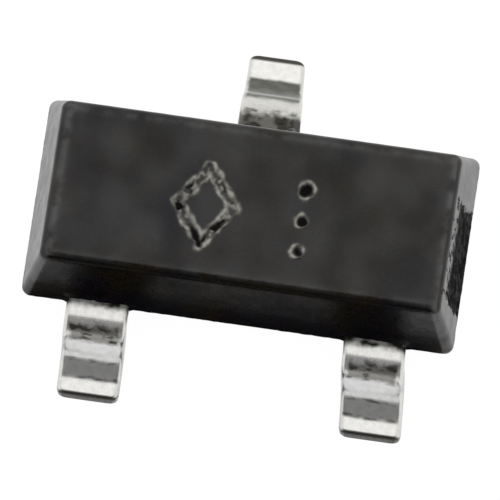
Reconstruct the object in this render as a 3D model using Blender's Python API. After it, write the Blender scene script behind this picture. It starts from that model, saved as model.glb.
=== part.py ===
"""A three-lead surface-mount field-effect transistor in a moulded package.

The package is built the way it is made. Three leads are blanked from a strip
of copper alloy, the die is soldered to the paddle of the drain lead, wires are
bonded from the die to the gate and source leads, black compound is moulded
round the lot, and the leads are bent to gull wings.

Frame: X runs along the body, the two front leads point to -Y, +Z is up, and
Z = 0 is the board that the feet stand on. Sizes are written in millimetres and
the finished meshes are scaled to metres.
"""

import math
from dataclasses import dataclass

import bmesh
import bpy

MM = 0.001

# Moulded body
BODY_LENGTH = 2.90
BODY_WIDTH = 1.35
BODY_BOTTOM = 0.05
BODY_TOP = 0.95
PARTING_HEIGHT = 0.38
PARTING_LAND = 0.02
CORNER_RADIUS = 0.06
TOP_DRAFT_ENDS = 0.116
TOP_DRAFT_SIDES = 0.132
TOP_EDGE_RADIUS = 0.06
BOTTOM_DRAFT_ENDS = 0.07
BOTTOM_DRAFT_SIDES = 0.08
BOTTOM_EDGE_RADIUS = 0.035

# Rough place on the right end, where the feed of the mould broke off
GATE_SCAR_LENGTH = 0.70
GATE_SCAR_CENTRE_Y = -0.07
GATE_SCAR_HEIGHT = 0.35
GATE_SCAR_DEPTH = 0.012

# Leads outside the body
LEAD_THICKNESS = 0.13
LEAD_WIDTH = 0.42
LEAD_PITCH = 1.86
DRAIN_LEAD_OFFSET = 0.02
LEAD_REACH = 0.575
EXIT_RUN = 0.085
UPPER_BEND_RADIUS = 0.05
LOWER_BEND_RADIUS = 0.22
LARGEST_SHANK_ANGLE = 76.0
TOE_CORNER_RADIUS = 0.04
LEAD_EDGE_ROUND = 0.025

# How each lead came out of the forming tool: toe width, and its sideways set
GATE_TOE_WIDTH = 0.42
GATE_TOE_SET = 0.005
SOURCE_TOE_WIDTH = 0.42
SOURCE_TOE_SET = 0.047
DRAIN_TOE_WIDTH = 0.375
DRAIN_TOE_SET = -0.020

# Leads inside the body
NOTCH_RADIUS = 0.045
FRAME_FILLET = 0.04
BOND_LAND_COVER = 0.20
BOND_LAND_DEPTH = 0.55
BOND_LAND_END_COVER = 0.16
PADDLE_SPACING = 0.12
PADDLE_MARGIN = 0.10

# Die, the solder under it, and the metal pads on it
DIE_LENGTH = 0.80
DIE_WIDTH = 0.50
DIE_THICKNESS = 0.15
DIE_CENTRE_Y = 0.03
SOLDER_THICKNESS = 0.02
SOLDER_MARGIN = 0.02
DIE_RIM = 0.05
GATE_PAD_SIZE = 0.14
DIE_PAD_SPACING = 0.05
DIE_METAL = 0.005

# Bond wires
GATE_WIRE_DIAMETER = 0.03
SOURCE_WIRE_DIAMETER = 0.05
SOURCE_WIRE_SPACING = 0.18
BALL_WIDTH_RATIO = 2.4
BALL_HEIGHT_RATIO = 0.9
WIRE_RISE = 0.20
WIRE_LANDING = 0.20
WIRE_LANDING_ANGLE = 40.0
STITCH_LENGTH = 0.08
STITCH_WIDENING = 1.7
STITCH_FLATTENING = 0.45
STITCH_INSET = 0.17

# Clearances: between the compound and what it holds, and under what is bonded
MOULD_GAP = 0.004
SEAT_GAP = 0.003

# Fineness of the round shapes
CORNER_STEPS = 6
EDGE_STEPS = 5
BEND_STEPS = 8
FILLET_STEPS = 3
NOTCH_STEPS = 8
WIRE_SIDES = 10
WIRE_STEPS = 14
STITCH_STEPS = 4
BALL_STEPS = 5
SHARP_ANGLE = math.radians(35)

# How far a cutting shape runs past the face that it opens
CUT_OVERRUN = 0.05

# Heights and places that follow from the sizes above
FRAME_TOP = PARTING_HEIGHT + LEAD_THICKNESS / 2
SOLDER_BOTTOM = FRAME_TOP + SEAT_GAP
SOLDER_TOP = SOLDER_BOTTOM + SOLDER_THICKNESS
DIE_BOTTOM = SOLDER_TOP + SEAT_GAP
DIE_TOP = DIE_BOTTOM + DIE_THICKNESS
DIE_METAL_TOP = DIE_TOP + DIE_METAL
PADDLE_HALF = DIE_LENGTH / 2 + PADDLE_MARGIN
PADDLE_FRONT = DIE_CENTRE_Y - DIE_WIDTH / 2 - PADDLE_MARGIN
PADDLE_REAR = DIE_CENTRE_Y + DIE_WIDTH / 2 + PADDLE_MARGIN
LAND_INNER = PADDLE_HALF + PADDLE_SPACING
LAND_OUTER = BODY_LENGTH / 2 - BOND_LAND_END_COVER
LAND_FRONT = BODY_WIDTH / 2 - BOND_LAND_COVER
LAND_MIDDLE_Y = BOND_LAND_DEPTH / 2 - LAND_FRONT
EXIT_DISTANCE = BODY_WIDTH / 2


@dataclass(frozen=True)
class Lead:
    """One blanked and bent lead.

    side is +1 for a lead that points to +Y and -1 for -Y. Distances along the
    blank are measured outwards from the middle of the body.
    """

    centre: float
    side: int
    toe_width: float
    toe_set: float
    pad_left: float
    pad_right: float
    pad_near: float
    pad_far: float


def clear_scene():
    """Take every object out of the scene."""
    for item in list(bpy.data.objects):
        bpy.data.objects.remove(item, do_unlink=True)


def make_material(name, colour, roughness, metallic):
    """Return a plain surface of one colour."""
    material = bpy.data.materials.new(name)
    material.use_nodes = True
    shader = material.node_tree.nodes["Principled BSDF"]
    shader.inputs["Base Color"].default_value = (*colour, 1.0)
    shader.inputs["Roughness"].default_value = roughness
    shader.inputs["Metallic"].default_value = metallic
    return material


def make_object(shape, name, material=None):
    """Turn a shape drawn in millimetres into a named object in metres."""
    bmesh.ops.recalc_face_normals(shape, faces=shape.faces)
    if shape.calc_volume(signed=True) < 0:
        bmesh.ops.reverse_faces(shape, faces=shape.faces)
    bmesh.ops.scale(shape, vec=(MM, MM, MM), verts=shape.verts)
    mesh = bpy.data.meshes.new(name)
    shape.to_mesh(mesh)
    shape.free()
    mesh.shade_smooth()
    mesh.set_sharp_from_angle(angle=SHARP_ANGLE)
    item = bpy.data.objects.new(name, mesh)
    bpy.context.collection.objects.link(item)
    if material:
        mesh.materials.append(material)
    return item


def make_cutter(shape, name):
    """Make an object that only cuts others."""
    cutter = make_object(shape, name)
    cutter.hide_render = True
    cutter.display_type = "WIRE"
    return cutter


def cut(item, cutter):
    """Take the cutter's shape out of the item."""
    modifier = item.modifiers.new(cutter.name, "BOOLEAN")
    modifier.operation = "DIFFERENCE"
    modifier.solver = "EXACT"
    modifier.object = cutter


def loft(rings):
    """Skin closed rings of equal length, with a flat cap at each end."""
    shape = bmesh.new()
    loops = [[shape.verts.new(point) for point in ring] for ring in rings]
    count = len(loops[0])
    for lower, upper in zip(loops, loops[1:]):
        for index in range(count):
            after = (index + 1) % count
            shape.faces.new((lower[index], lower[after], upper[after], upper[index]))
    shape.faces.new(reversed(loops[0]))
    shape.faces.new(loops[-1])
    return shape


def block(x_range, y_range, z_range):
    """Return a box between the given limits."""
    corners = ((0, 0), (1, 0), (1, 1), (0, 1))
    return loft([[(x_range[i], y_range[j], z) for i, j in corners] for z in z_range])


def rounded_ring(half_length, half_width, radius, height):
    """Return the points of a rectangle with round corners."""
    points = []
    corners = ((1, 1, 0), (-1, 1, 90), (-1, -1, 180), (1, -1, 270))
    for side_x, side_y, start in corners:
        centre_x = side_x * (half_length - radius)
        centre_y = side_y * (half_width - radius)
        for step in range(CORNER_STEPS + 1):
            angle = math.radians(start + 90 * step / CORNER_STEPS)
            x = centre_x + radius * math.cos(angle)
            y = centre_y + radius * math.sin(angle)
            points.append((x, y, height))
    return points


def wall_inset(rise, height, draft, radius):
    """Return how far a drafted wall has drawn in at a rise above the parting land.

    The wall leans in by draft over its height and then rounds over to the flat
    face with the given radius.
    """
    lean = math.atan2(draft, height)
    flat_edge = draft + radius * math.tan((math.pi / 2 - lean) / 2)
    sine = (rise - height + radius) / radius
    if sine <= math.sin(lean):
        return draft * rise / height
    return flat_edge - radius * math.sqrt(max(0.0, 1 - sine * sine))


def body_rings(height, draft_ends, draft_sides, radius, direction):
    """Return the rings of one mould half, from its land to its flat face."""
    lean = math.atan2(min(draft_ends, draft_sides), height)
    rises = [0.0]
    for step in range(EDGE_STEPS + 1):
        angle = lean + (math.pi / 2 - lean) * step / EDGE_STEPS
        rises.append(height - radius + radius * math.sin(angle))
    start = PARTING_HEIGHT + direction * PARTING_LAND / 2
    rings = []
    for rise in rises:
        half_length = BODY_LENGTH / 2 - wall_inset(rise, height, draft_ends, radius)
        half_width = BODY_WIDTH / 2 - wall_inset(rise, height, draft_sides, radius)
        height_here = start + direction * rise
        rings.append(rounded_ring(half_length, half_width, CORNER_RADIUS, height_here))
    return rings


def make_body(material):
    """Mould the body, still without the hollows that its contents fill."""
    upper_height = BODY_TOP - PARTING_HEIGHT - PARTING_LAND / 2
    lower_height = PARTING_HEIGHT - PARTING_LAND / 2 - BODY_BOTTOM
    upper = body_rings(upper_height, TOP_DRAFT_ENDS, TOP_DRAFT_SIDES, TOP_EDGE_RADIUS, 1)
    lower = body_rings(
        lower_height, BOTTOM_DRAFT_ENDS, BOTTOM_DRAFT_SIDES, BOTTOM_EDGE_RADIUS, -1
    )
    return make_object(loft(lower[::-1] + upper), "mould_body", material)


def gate_scar_cutter():
    """Make the shallow step that the broken feed left on the right end."""
    upper_height = BODY_TOP - PARTING_HEIGHT - PARTING_LAND / 2
    lean = TOP_DRAFT_ENDS / upper_height
    bottom = PARTING_HEIGHT + PARTING_LAND / 2
    inner_bottom = BODY_LENGTH / 2 - GATE_SCAR_DEPTH
    inner_top = inner_bottom - lean * GATE_SCAR_HEIGHT
    outer = BODY_LENGTH / 2 + CUT_OVERRUN
    top = bottom + GATE_SCAR_HEIGHT
    outline = ((inner_bottom, bottom), (outer, bottom), (outer, top), (inner_top, top))
    ends = [GATE_SCAR_CENTRE_Y + side * GATE_SCAR_LENGTH / 2 for side in (-1, 1)]
    rings = [[(x, y, z) for x, z in outline] for y in ends]
    return make_cutter(loft(rings), "gate_scar_cutter")


def lead_path():
    """Return the sizes of a lead's bends, in order along its middle line.

    Where the drop is too small for both bends, the shank leans out further.
    """
    upper = UPPER_BEND_RADIUS + LEAD_THICKNESS / 2
    lower = LOWER_BEND_RADIUS + LEAD_THICKNESS / 2
    drop = PARTING_HEIGHT - LEAD_THICKNESS / 2
    steepest = math.acos(max(-1.0, 1 - drop / (upper + lower)))
    angle = min(math.radians(LARGEST_SHANK_ANGLE), steepest)
    shank = (drop - (upper + lower) * (1 - math.cos(angle))) / math.sin(angle)
    bends_reach = (upper + lower) * math.sin(angle) + shank * math.cos(angle)
    foot = LEAD_REACH - EXIT_RUN - bends_reach
    return upper, lower, angle, shank, foot


def toe_distance():
    """Return the length of the blank from the middle of the body to the toe."""
    upper, lower, angle, shank, foot = lead_path()
    return EXIT_DISTANCE + EXIT_RUN + (upper + lower) * angle + shank + foot


def middle_line(distance):
    """Return reach, height and tilt of the bent strip at a distance along it."""
    upper, lower, angle, shank, _ = lead_path()
    bend_start = EXIT_DISTANCE + EXIT_RUN
    along = distance - bend_start
    if along <= 0:
        return distance, PARTING_HEIGHT, 0.0
    tilt = min(along / upper, angle)
    reach = bend_start + upper * math.sin(tilt)
    height = PARTING_HEIGHT - upper * (1 - math.cos(tilt))
    along -= upper * angle
    if along <= 0:
        return reach, height, tilt
    straight = min(along, shank)
    reach += straight * math.cos(angle)
    height -= straight * math.sin(angle)
    along -= shank
    if along <= 0:
        return reach, height, angle
    tilt = max(angle - along / lower, 0.0)
    reach += lower * (math.sin(angle) - math.sin(tilt))
    height -= lower * (math.cos(tilt) - math.cos(angle))
    return reach + max(0.0, along - lower * angle), height, tilt


def round_corners(corners):
    """Replace each (x, y, radius) corner of an outline with an arc."""
    points = []
    count = len(corners)
    for index, (x, y, radius) in enumerate(corners):
        if radius <= 0:
            points.append((x, y))
            continue
        before = corners[index - 1]
        after = corners[(index + 1) % count]
        to_before = math.atan2(before[1] - y, before[0] - x)
        to_after = math.atan2(after[1] - y, after[0] - x)
        opening = (to_after - to_before + math.pi) % (2 * math.pi) - math.pi
        middle = to_before + opening / 2
        span = radius / math.sin(abs(opening) / 2)
        centre = (x + span * math.cos(middle), y + span * math.sin(middle))
        turn = math.copysign(math.pi - abs(opening), opening)
        start = middle + math.pi + turn / 2
        for step in range(FILLET_STEPS + 1):
            angle = start - turn * step / FILLET_STEPS
            arc_x = centre[0] + radius * math.cos(angle)
            arc_y = centre[1] + radius * math.sin(angle)
            points.append((arc_x, arc_y))
    return points


def notch(edge, distance, radius, inward):
    """Return the half circle bitten out of a strip's edge, as sharp corners."""
    points = []
    for step in range(NOTCH_STEPS + 1):
        angle = math.pi * (0.5 - step / NOTCH_STEPS) * inward
        x = edge + inward * radius * math.cos(angle)
        points.append((x, distance + radius * math.sin(angle), 0.0))
    return points


def blank_outline(lead, length, toe_width, toe_radius, grow):
    """Return the flat outline of a lead, all round larger by grow."""
    half = LEAD_WIDTH / 2 + grow
    half_toe = toe_width / 2 + grow
    left = lead.pad_left - grow
    right = lead.pad_right + grow
    near = lead.pad_near - grow
    far = lead.pad_far + grow
    notch_at = (lead.pad_far + EXIT_DISTANCE) / 2
    notch_radius = NOTCH_RADIUS - grow
    corners = [
        (lead.centre + half_toe, length, toe_radius),
        (lead.centre - half_toe, length, toe_radius),
        (lead.centre - half, EXIT_DISTANCE, 0.0),
    ]
    corners += notch(lead.centre - half, notch_at, notch_radius, 1)
    corners += [
        (lead.centre - half, far, 0.0),
        (left, far, FRAME_FILLET),
        (left, near, FRAME_FILLET),
        (right, near, FRAME_FILLET),
        (right, far, FRAME_FILLET),
        (lead.centre + half, far, 0.0),
    ]
    corners += notch(lead.centre + half, notch_at, notch_radius, -1)
    corners.append((lead.centre + half, EXIT_DISTANCE, 0.0))
    return round_corners(corners)


def plate(outline, thickness):
    """Return a flat plate of the outline, centred on the height Z = 0."""
    rings = [[(x, y, z) for x, y in outline] for z in (-thickness / 2, thickness / 2)]
    return loft(rings)


def round_plate_edges(shape):
    """Round the edges that blanking leaves along both faces of a plate."""
    edges = [edge for edge in shape.edges if edge.verts[0].co.z == edge.verts[1].co.z]
    bmesh.ops.bevel(
        shape,
        geom=edges,
        offset=LEAD_EDGE_ROUND,
        segments=2,
        profile=0.5,
        affect="EDGES",
    )


def split_at_bends(shape):
    """Cut a plate across at each step of its bends."""
    upper, lower, angle, shank, _ = lead_path()
    starts = (EXIT_DISTANCE + EXIT_RUN, EXIT_DISTANCE + EXIT_RUN + upper * angle + shank)
    for start, radius in zip(starts, (upper, lower)):
        for step in range(BEND_STEPS + 1):
            distance = start + radius * angle * step / BEND_STEPS
            parts = list(shape.verts) + list(shape.edges) + list(shape.faces)
            bmesh.ops.bisect_plane(
                shape, geom=parts, dist=1e-7, plane_co=(0, distance, 0), plane_no=(0, 1, 0)
            )


def bend_plate(shape, lead):
    """Bend a flat plate to the gull wing and turn it to its side of the body."""
    length = toe_distance()
    for vert in shape.verts:
        x, distance, offset = vert.co
        outside = max(0.0, distance - EXIT_DISTANCE) / (length - EXIT_DISTANCE)
        reach, height, tilt = middle_line(distance)
        reach += offset * math.sin(tilt)
        height += offset * math.cos(tilt)
        vert.co = (x + lead.toe_set * outside, lead.side * reach, height)


def make_lead(lead, name, material):
    """Blank, round and bend one lead."""
    length = toe_distance()
    outline = blank_outline(lead, length, lead.toe_width, TOE_CORNER_RADIUS, 0.0)
    shape = plate(outline, LEAD_THICKNESS)
    round_plate_edges(shape)
    split_at_bends(shape)
    bend_plate(shape, lead)
    return make_object(shape, name, material)


def lead_cutter(lead, name):
    """Make the hollow that a lead fills, out through the wall of the body."""
    length = EXIT_DISTANCE + CUT_OVERRUN
    outline = blank_outline(lead, length, LEAD_WIDTH, 0.0, MOULD_GAP)
    shape = plate(outline, LEAD_THICKNESS + 2 * MOULD_GAP)
    for vert in shape.verts:
        vert.co.y *= lead.side
        vert.co.z += PARTING_HEIGHT
    return make_cutter(shape, name)


def die_ranges(grow):
    """Return the plan limits of the die, all round larger by grow."""
    half_length = DIE_LENGTH / 2 + grow
    half_width = DIE_WIDTH / 2 + grow
    x_range = (-half_length, half_length)
    y_range = (DIE_CENTRE_Y - half_width, DIE_CENTRE_Y + half_width)
    return x_range, y_range


def make_die(material):
    """Make the silicon die with its raised gate and source pads."""
    x_range, y_range = die_ranges(0.0)
    gate_left = x_range[0] + DIE_RIM
    gate_right = gate_left + GATE_PAD_SIZE
    gate_front = y_range[0] + DIE_RIM
    x_lines = (
        x_range[0],
        gate_left,
        gate_right,
        gate_right + DIE_PAD_SPACING,
        x_range[1] - DIE_RIM,
        x_range[1],
    )
    y_lines = (
        y_range[0],
        gate_front,
        gate_front + GATE_PAD_SIZE,
        y_range[1] - DIE_RIM,
        y_range[1],
    )
    shape = bmesh.new()
    grid = [[shape.verts.new((x, y, DIE_TOP)) for y in y_lines] for x in x_lines]
    cells = {}
    for i in range(len(x_lines) - 1):
        for j in range(len(y_lines) - 1):
            corners = (grid[i][j], grid[i + 1][j], grid[i + 1][j + 1], grid[i][j + 1])
            cells[i, j] = shape.faces.new(corners)
    raised = [cells[1, 1], cells[3, 1], cells[3, 2]]
    extrude_up(shape, list(shape.faces), -DIE_THICKNESS)
    extrude_up(shape, raised, DIE_METAL)
    bmesh.ops.delete(shape, geom=raised, context="FACES")
    return make_object(shape, "mosfet_die", material)


def extrude_up(shape, faces, distance):
    """Extrude faces along Z by a distance."""
    result = bmesh.ops.extrude_face_region(shape, geom=faces)
    verts = [item for item in result["geom"] if isinstance(item, bmesh.types.BMVert)]
    bmesh.ops.translate(shape, vec=(0, 0, distance), verts=verts)


def make_solder(material):
    """Make the solder layer between the die and the paddle."""
    x_range, y_range = die_ranges(SOLDER_MARGIN)
    shape = block(x_range, y_range, (SOLDER_BOTTOM, SOLDER_TOP))
    return make_object(shape, "die_solder", material)


def wire_rings(start, end, radius, grow):
    """Return the sections of a bond wire, from its ball to its flat stitch.

    start is the place on the die and end the tip of the stitch on the lead,
    both in plan. grow makes every section larger, for the hollow round a wire.
    """
    length = math.dist(start, end)
    along = ((end[0] - start[0]) / length, (end[1] - start[1]) / length)
    across = (-along[1], along[0])
    floor = DIE_METAL_TOP + SEAT_GAP - grow
    ball_radius = radius * BALL_WIDTH_RATIO
    ball_height = 2 * radius * BALL_HEIGHT_RATIO

    def section(reach, height, tilt, half_width, half_height):
        ring = []
        for side in range(WIRE_SIDES):
            angle = 2 * math.pi * side / WIRE_SIDES
            sideways = (half_width + grow) * math.cos(angle)
            upright = (half_height + grow) * math.sin(angle)
            forward = reach - upright * math.sin(tilt)
            x = start[0] + along[0] * forward + across[0] * sideways
            y = start[1] + along[1] * forward + across[1] * sideways
            ring.append((x, y, height + upright * math.cos(tilt)))
        return ring

    rings = []
    upright_tilt = math.pi / 2
    for step in range(BALL_STEPS):
        part = step / BALL_STEPS
        bulge = math.sin(math.pi * (0.25 + 0.75 * part))
        width = radius + (ball_radius - radius) * bulge
        rings.append(section(0, floor + part * ball_height, upright_tilt, width, width))

    landing = math.radians(WIRE_LANDING_ANGLE)
    touch = length - STITCH_LENGTH
    rest = FRAME_TOP + SEAT_GAP + radius
    top_of_ball = DIE_METAL_TOP + SEAT_GAP + ball_height
    points = (
        (0.0, top_of_ball),
        (0.0, top_of_ball + WIRE_RISE),
        (touch - WIRE_LANDING * math.cos(landing), rest + WIRE_LANDING * math.sin(landing)),
        (touch, rest),
    )
    for step in range(WIRE_STEPS):
        part = step / WIRE_STEPS
        weights = (
            (1 - part) ** 3,
            3 * part * (1 - part) ** 2,
            3 * part**2 * (1 - part),
            part**3,
        )
        slopes = (
            -((1 - part) ** 2),
            (1 - part) * (1 - 3 * part),
            part * (2 - 3 * part),
            part**2,
        )
        reach, height = (sum(w * p[k] for w, p in zip(weights, points)) for k in (0, 1))
        run, rise = (sum(s * p[k] for s, p in zip(slopes, points)) for k in (0, 1))
        rings.append(section(reach, height, math.atan2(rise, run), radius, radius))

    for step in range(STITCH_STEPS + 1):
        part = step / STITCH_STEPS
        half_height = radius * (1 - (1 - STITCH_FLATTENING) * part)
        half_width = radius * (1 + (STITCH_WIDENING - 1) * part)
        reach = touch + (STITCH_LENGTH + grow) * part
        tilt = -landing * (1 - part) / 2
        height = FRAME_TOP + SEAT_GAP + half_height
        rings.append(section(reach, height, tilt, half_width, half_height))
    return rings


def wire_routes():
    """Return name, start, end and radius of each bond wire."""
    stitch_x = LAND_INNER + STITCH_INSET
    gate_x = -DIE_LENGTH / 2 + DIE_RIM + GATE_PAD_SIZE / 2
    gate_y = DIE_CENTRE_Y - DIE_WIDTH / 2 + DIE_RIM + GATE_PAD_SIZE / 2
    source_left = gate_x + GATE_PAD_SIZE / 2 + DIE_PAD_SPACING
    source_x = (source_left + DIE_LENGTH / 2 - DIE_RIM) / 2
    gate_radius = GATE_WIRE_DIAMETER / 2
    source_radius = SOURCE_WIRE_DIAMETER / 2
    routes = [("gate_wire", (gate_x, gate_y), (-stitch_x, LAND_MIDDLE_Y), gate_radius)]
    for name, side in (("source_wire_front", -1), ("source_wire_rear", 1)):
        offset = side * SOURCE_WIRE_SPACING / 2
        start = (source_x, DIE_CENTRE_Y + offset)
        end = (stitch_x, LAND_MIDDLE_Y + offset)
        routes.append((name, start, end, source_radius))
    return routes


def define_leads():
    """Return the three leads with the lands that they have inside the body."""
    front = {
        "side": -1,
        "pad_near": LAND_FRONT - BOND_LAND_DEPTH,
        "pad_far": LAND_FRONT,
    }
    gate = Lead(
        centre=-LEAD_PITCH / 2,
        toe_width=GATE_TOE_WIDTH,
        toe_set=GATE_TOE_SET,
        pad_left=-LAND_OUTER,
        pad_right=-LAND_INNER,
        **front,
    )
    source = Lead(
        centre=LEAD_PITCH / 2,
        toe_width=SOURCE_TOE_WIDTH,
        toe_set=SOURCE_TOE_SET,
        pad_left=LAND_INNER,
        pad_right=LAND_OUTER,
        **front,
    )
    drain = Lead(
        centre=DRAIN_LEAD_OFFSET,
        side=1,
        toe_width=DRAIN_TOE_WIDTH,
        toe_set=DRAIN_TOE_SET,
        pad_left=-PADDLE_HALF,
        pad_right=PADDLE_HALF,
        pad_near=PADDLE_FRONT,
        pad_far=PADDLE_REAR,
    )
    return {"gate_lead": gate, "source_lead": source, "drain_lead": drain}


def build_package():
    """Make every piece of the package."""
    compound = make_material("moulding_compound", (0.018, 0.018, 0.018), 0.45, 0.0)
    tin = make_material("tin_plated_copper", (0.72, 0.72, 0.71), 0.28, 1.0)
    silicon = make_material("silicon_die", (0.16, 0.17, 0.19), 0.2, 0.4)
    solder = make_material("die_solder_alloy", (0.42, 0.42, 0.41), 0.45, 1.0)
    copper = make_material("copper_wire", (0.80, 0.42, 0.26), 0.3, 1.0)

    body = make_body(compound)
    cut(body, gate_scar_cutter())
    for name, lead in define_leads().items():
        make_lead(lead, name, tin)
        cut(body, lead_cutter(lead, name + "_cutter"))

    make_solder(solder)
    x_range, y_range = die_ranges(SOLDER_MARGIN + MOULD_GAP)
    hollow = block(x_range, y_range, (PARTING_HEIGHT, SOLDER_TOP + MOULD_GAP))
    cut(body, make_cutter(hollow, "solder_cutter"))

    make_die(silicon)
    x_range, y_range = die_ranges(MOULD_GAP)
    hollow = block(x_range, y_range, (PARTING_HEIGHT, DIE_METAL_TOP + MOULD_GAP))
    cut(body, make_cutter(hollow, "die_cutter"))

    for name, start, end, radius in wire_routes():
        make_object(loft(wire_rings(start, end, radius, 0.0)), name, copper)
        hollow = loft(wire_rings(start, end, radius, MOULD_GAP))
        cut(body, make_cutter(hollow, name + "_cutter"))


clear_scene()
build_package()
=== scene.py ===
"""Dresses the moulded three-lead transistor package and lights it for the camera.

The skin of the moulding, its laser mark and the three plated leads are meshes
made here in the places of their solids. The die, its solder and the bond wires
keep their solids and get their finishes here. Shapes are worked out in
millimetres and scaled to metres when they become meshes.
"""

import logging
import math
from dataclasses import dataclass, field
from enum import Enum
from typing import Any, Sequence

import bpy
from mathutils import Matrix, Vector, noise


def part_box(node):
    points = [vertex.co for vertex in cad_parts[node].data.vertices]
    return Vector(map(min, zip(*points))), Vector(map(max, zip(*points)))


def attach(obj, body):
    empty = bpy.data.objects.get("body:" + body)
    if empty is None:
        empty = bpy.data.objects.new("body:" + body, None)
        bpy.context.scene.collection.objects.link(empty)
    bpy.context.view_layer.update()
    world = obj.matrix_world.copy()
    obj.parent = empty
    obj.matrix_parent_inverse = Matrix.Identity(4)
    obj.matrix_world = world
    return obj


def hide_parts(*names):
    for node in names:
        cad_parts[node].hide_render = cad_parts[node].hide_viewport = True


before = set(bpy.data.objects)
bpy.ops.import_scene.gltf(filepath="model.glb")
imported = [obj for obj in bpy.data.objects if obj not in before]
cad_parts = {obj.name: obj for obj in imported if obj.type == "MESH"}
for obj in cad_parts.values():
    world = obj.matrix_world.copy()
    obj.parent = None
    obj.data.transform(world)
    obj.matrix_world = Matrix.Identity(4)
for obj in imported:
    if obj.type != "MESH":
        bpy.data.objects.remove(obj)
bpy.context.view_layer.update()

log = logging.getLogger("smd_mosfet")

MM = 0.001
METRES_TO_MM = 1000.0

# A height that differs by less than this is the same, in millimetres.
ROUNDING = 0.001
# A wall whose direction has more than this along an axis faces that way.
FACING = 0.5
# The last of a row of steps may be so many times as long as the others.
LONGEST_LAST_STEP = 1.5

Point = tuple[float, float, float]
# A node for its first output in use, or a node and the name of an output.
Feed = bpy.types.Node | tuple[bpy.types.Node, str]


class Side(Enum):
    """Which long side of the body a lead stands on."""

    FRONT = -1
    REAR = 1


class Kind(Enum):
    """The nodes that the finishes and the studio are made of."""

    PLACE = "ShaderNodeTexCoord"
    STRETCH = "ShaderNodeMapping"
    AXES = "ShaderNodeSeparateXYZ"
    PAINTED = "ShaderNodeAttribute"
    NOISE = "ShaderNodeTexNoise"
    RANGE = "ShaderNodeMapRange"
    MATHS = "ShaderNodeMath"
    MIX = "ShaderNodeMix"
    BUMP = "ShaderNodeBump"
    PRINCIPLED = "ShaderNodeBsdfPrincipled"
    PAINT = "ShaderNodeBsdfDiffuse"
    GLOW = "ShaderNodeEmission"
    BOTH = "ShaderNodeAddShader"
    RAYS = "ShaderNodeLightPath"
    SURFACE = "ShaderNodeOutputMaterial"
    SKY_LIGHT = "ShaderNodeBackground"
    SKY = "ShaderNodeOutputWorld"


class Socket(Enum):
    """Inputs of the Principled shader that the finishes set."""

    COLOUR = "Base Color"
    METALLIC = "Metallic"
    ROUGHNESS = "Roughness"
    NORMAL = "Normal"
    IOR = "IOR"
    GLOSS = "Specular IOR Level"


# Settings that many nodes share.
SMOOTH = {"interpolation_type": "SMOOTHSTEP"}
COLOURS = {"data_type": "RGBA"}
TIMES = {"operation": "MULTIPLY"}
PLUS = {"operation": "ADD"}
MINUS = {"operation": "SUBTRACT"}
UNSIGNED = {"operation": "ABSOLUTE"}
LARGER = {"operation": "MAXIMUM"}

# A mix has its colour inputs by these numbers, as other inputs share their names.
UNDER = 6
OVER = 7

NOISE_ROUGHNESS = 0.6

# The curve of sRGB: a straight start, then a power of the shifted level.
SRGB_STRAIGHT_END = 0.04045
SRGB_STRAIGHT = 12.92
SRGB_SHIFT = 0.055
SRGB_POWER = 2.4

# What the meshes carry at each point, for the finishes to read.
SKIN_MARKS = ("mark_floor", "mark_char", "mark_ash", "edge_rub_highlight")
STRIP_MARKS = ("strip_along", "strip_inward", "strip_left")


def linear(hex_colour: str) -> tuple[float, float, float, float]:
    """Turn an sRGB hex colour to linear light.

    Args:
        hex_colour: Six hex digits after a hash.

    Returns:
        Red, green, blue and an alpha of one.
    """
    values = []
    for start in (1, 3, 5):
        level = int(hex_colour[start : start + 2], 16) / 255
        bent = ((level + SRGB_SHIFT) / (1 + SRGB_SHIFT)) ** SRGB_POWER
        values.append(level / SRGB_STRAIGHT if level <= SRGB_STRAIGHT_END else bent)
    return (values[0], values[1], values[2], 1.0)


def smooth_step(low: float, high: float, value: float) -> float:
    """Return 0 before low, 1 past high and a smooth ramp between, either way round."""
    part = min(1.0, max(0.0, (value - low) / (high - low)))
    return part * part * (3 - 2 * part)


@dataclass(frozen=True)
class Unevenness:
    """Smooth noise in a shape: its strength, the size of its lumps, and a seed.

    The size is in millimetres. The seed moves the noise, so that two uses differ.
    """

    strength: float
    size: float
    seed: float = 0.0

    def at(self, point: Sequence[float]) -> float:
        """Return the noise at a place in millimetres, to about the strength either way."""
        shift = Vector((self.seed, -self.seed, self.seed / 2))
        return self.strength * noise.noise(Vector(point) / self.size + shift)


def add_node(
    owner: bpy.types.Material | bpy.types.World,
    kind: Kind,
    settings: dict[str, Any],
    inputs: dict[str | int, Any],
) -> bpy.types.Node:
    """Add a shader node with its settings, and feed its inputs.

    Args:
        owner: The material or world whose tree gets the node.
        kind: The type of the node.
        settings: Properties of the node.
        inputs: What each input gets, by its name or number. It is a value, an
            sRGB hex colour, a node for its first output in use, or a node and
            the name of one of its outputs.

    Returns:
        The new node.
    """
    tree = owner.node_tree
    node = tree.nodes.new(kind.value)
    for name, value in settings.items():
        setattr(node, name, value)
    for name, feed in inputs.items():
        if isinstance(feed, bpy.types.Node):
            output = next(output for output in feed.outputs if output.enabled)
            tree.links.new(output, node.inputs[name])
        elif isinstance(feed, tuple) and isinstance(feed[0], bpy.types.Node):
            tree.links.new(feed[0].outputs[feed[1]], node.inputs[name])
        else:
            value = linear(feed) if isinstance(feed, str) else feed
            node.inputs[name].default_value = value
    return node


@dataclass(frozen=True)
class Lumps:
    """Noise in lumps of one size in millimetres, with some finer layers."""

    size: float
    layers: float

    def read(self, place: Feed) -> dict[str | int, Any]:
        """Feed a noise node.

        Args:
            place: Where the noise is read, in millimetres.

        Returns:
            What the node's inputs get.
        """
        return {
            "Vector": place,
            "Scale": 1 / self.size,
            "Detail": self.layers,
            "Roughness": NOISE_ROUGHNESS,
        }


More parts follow.
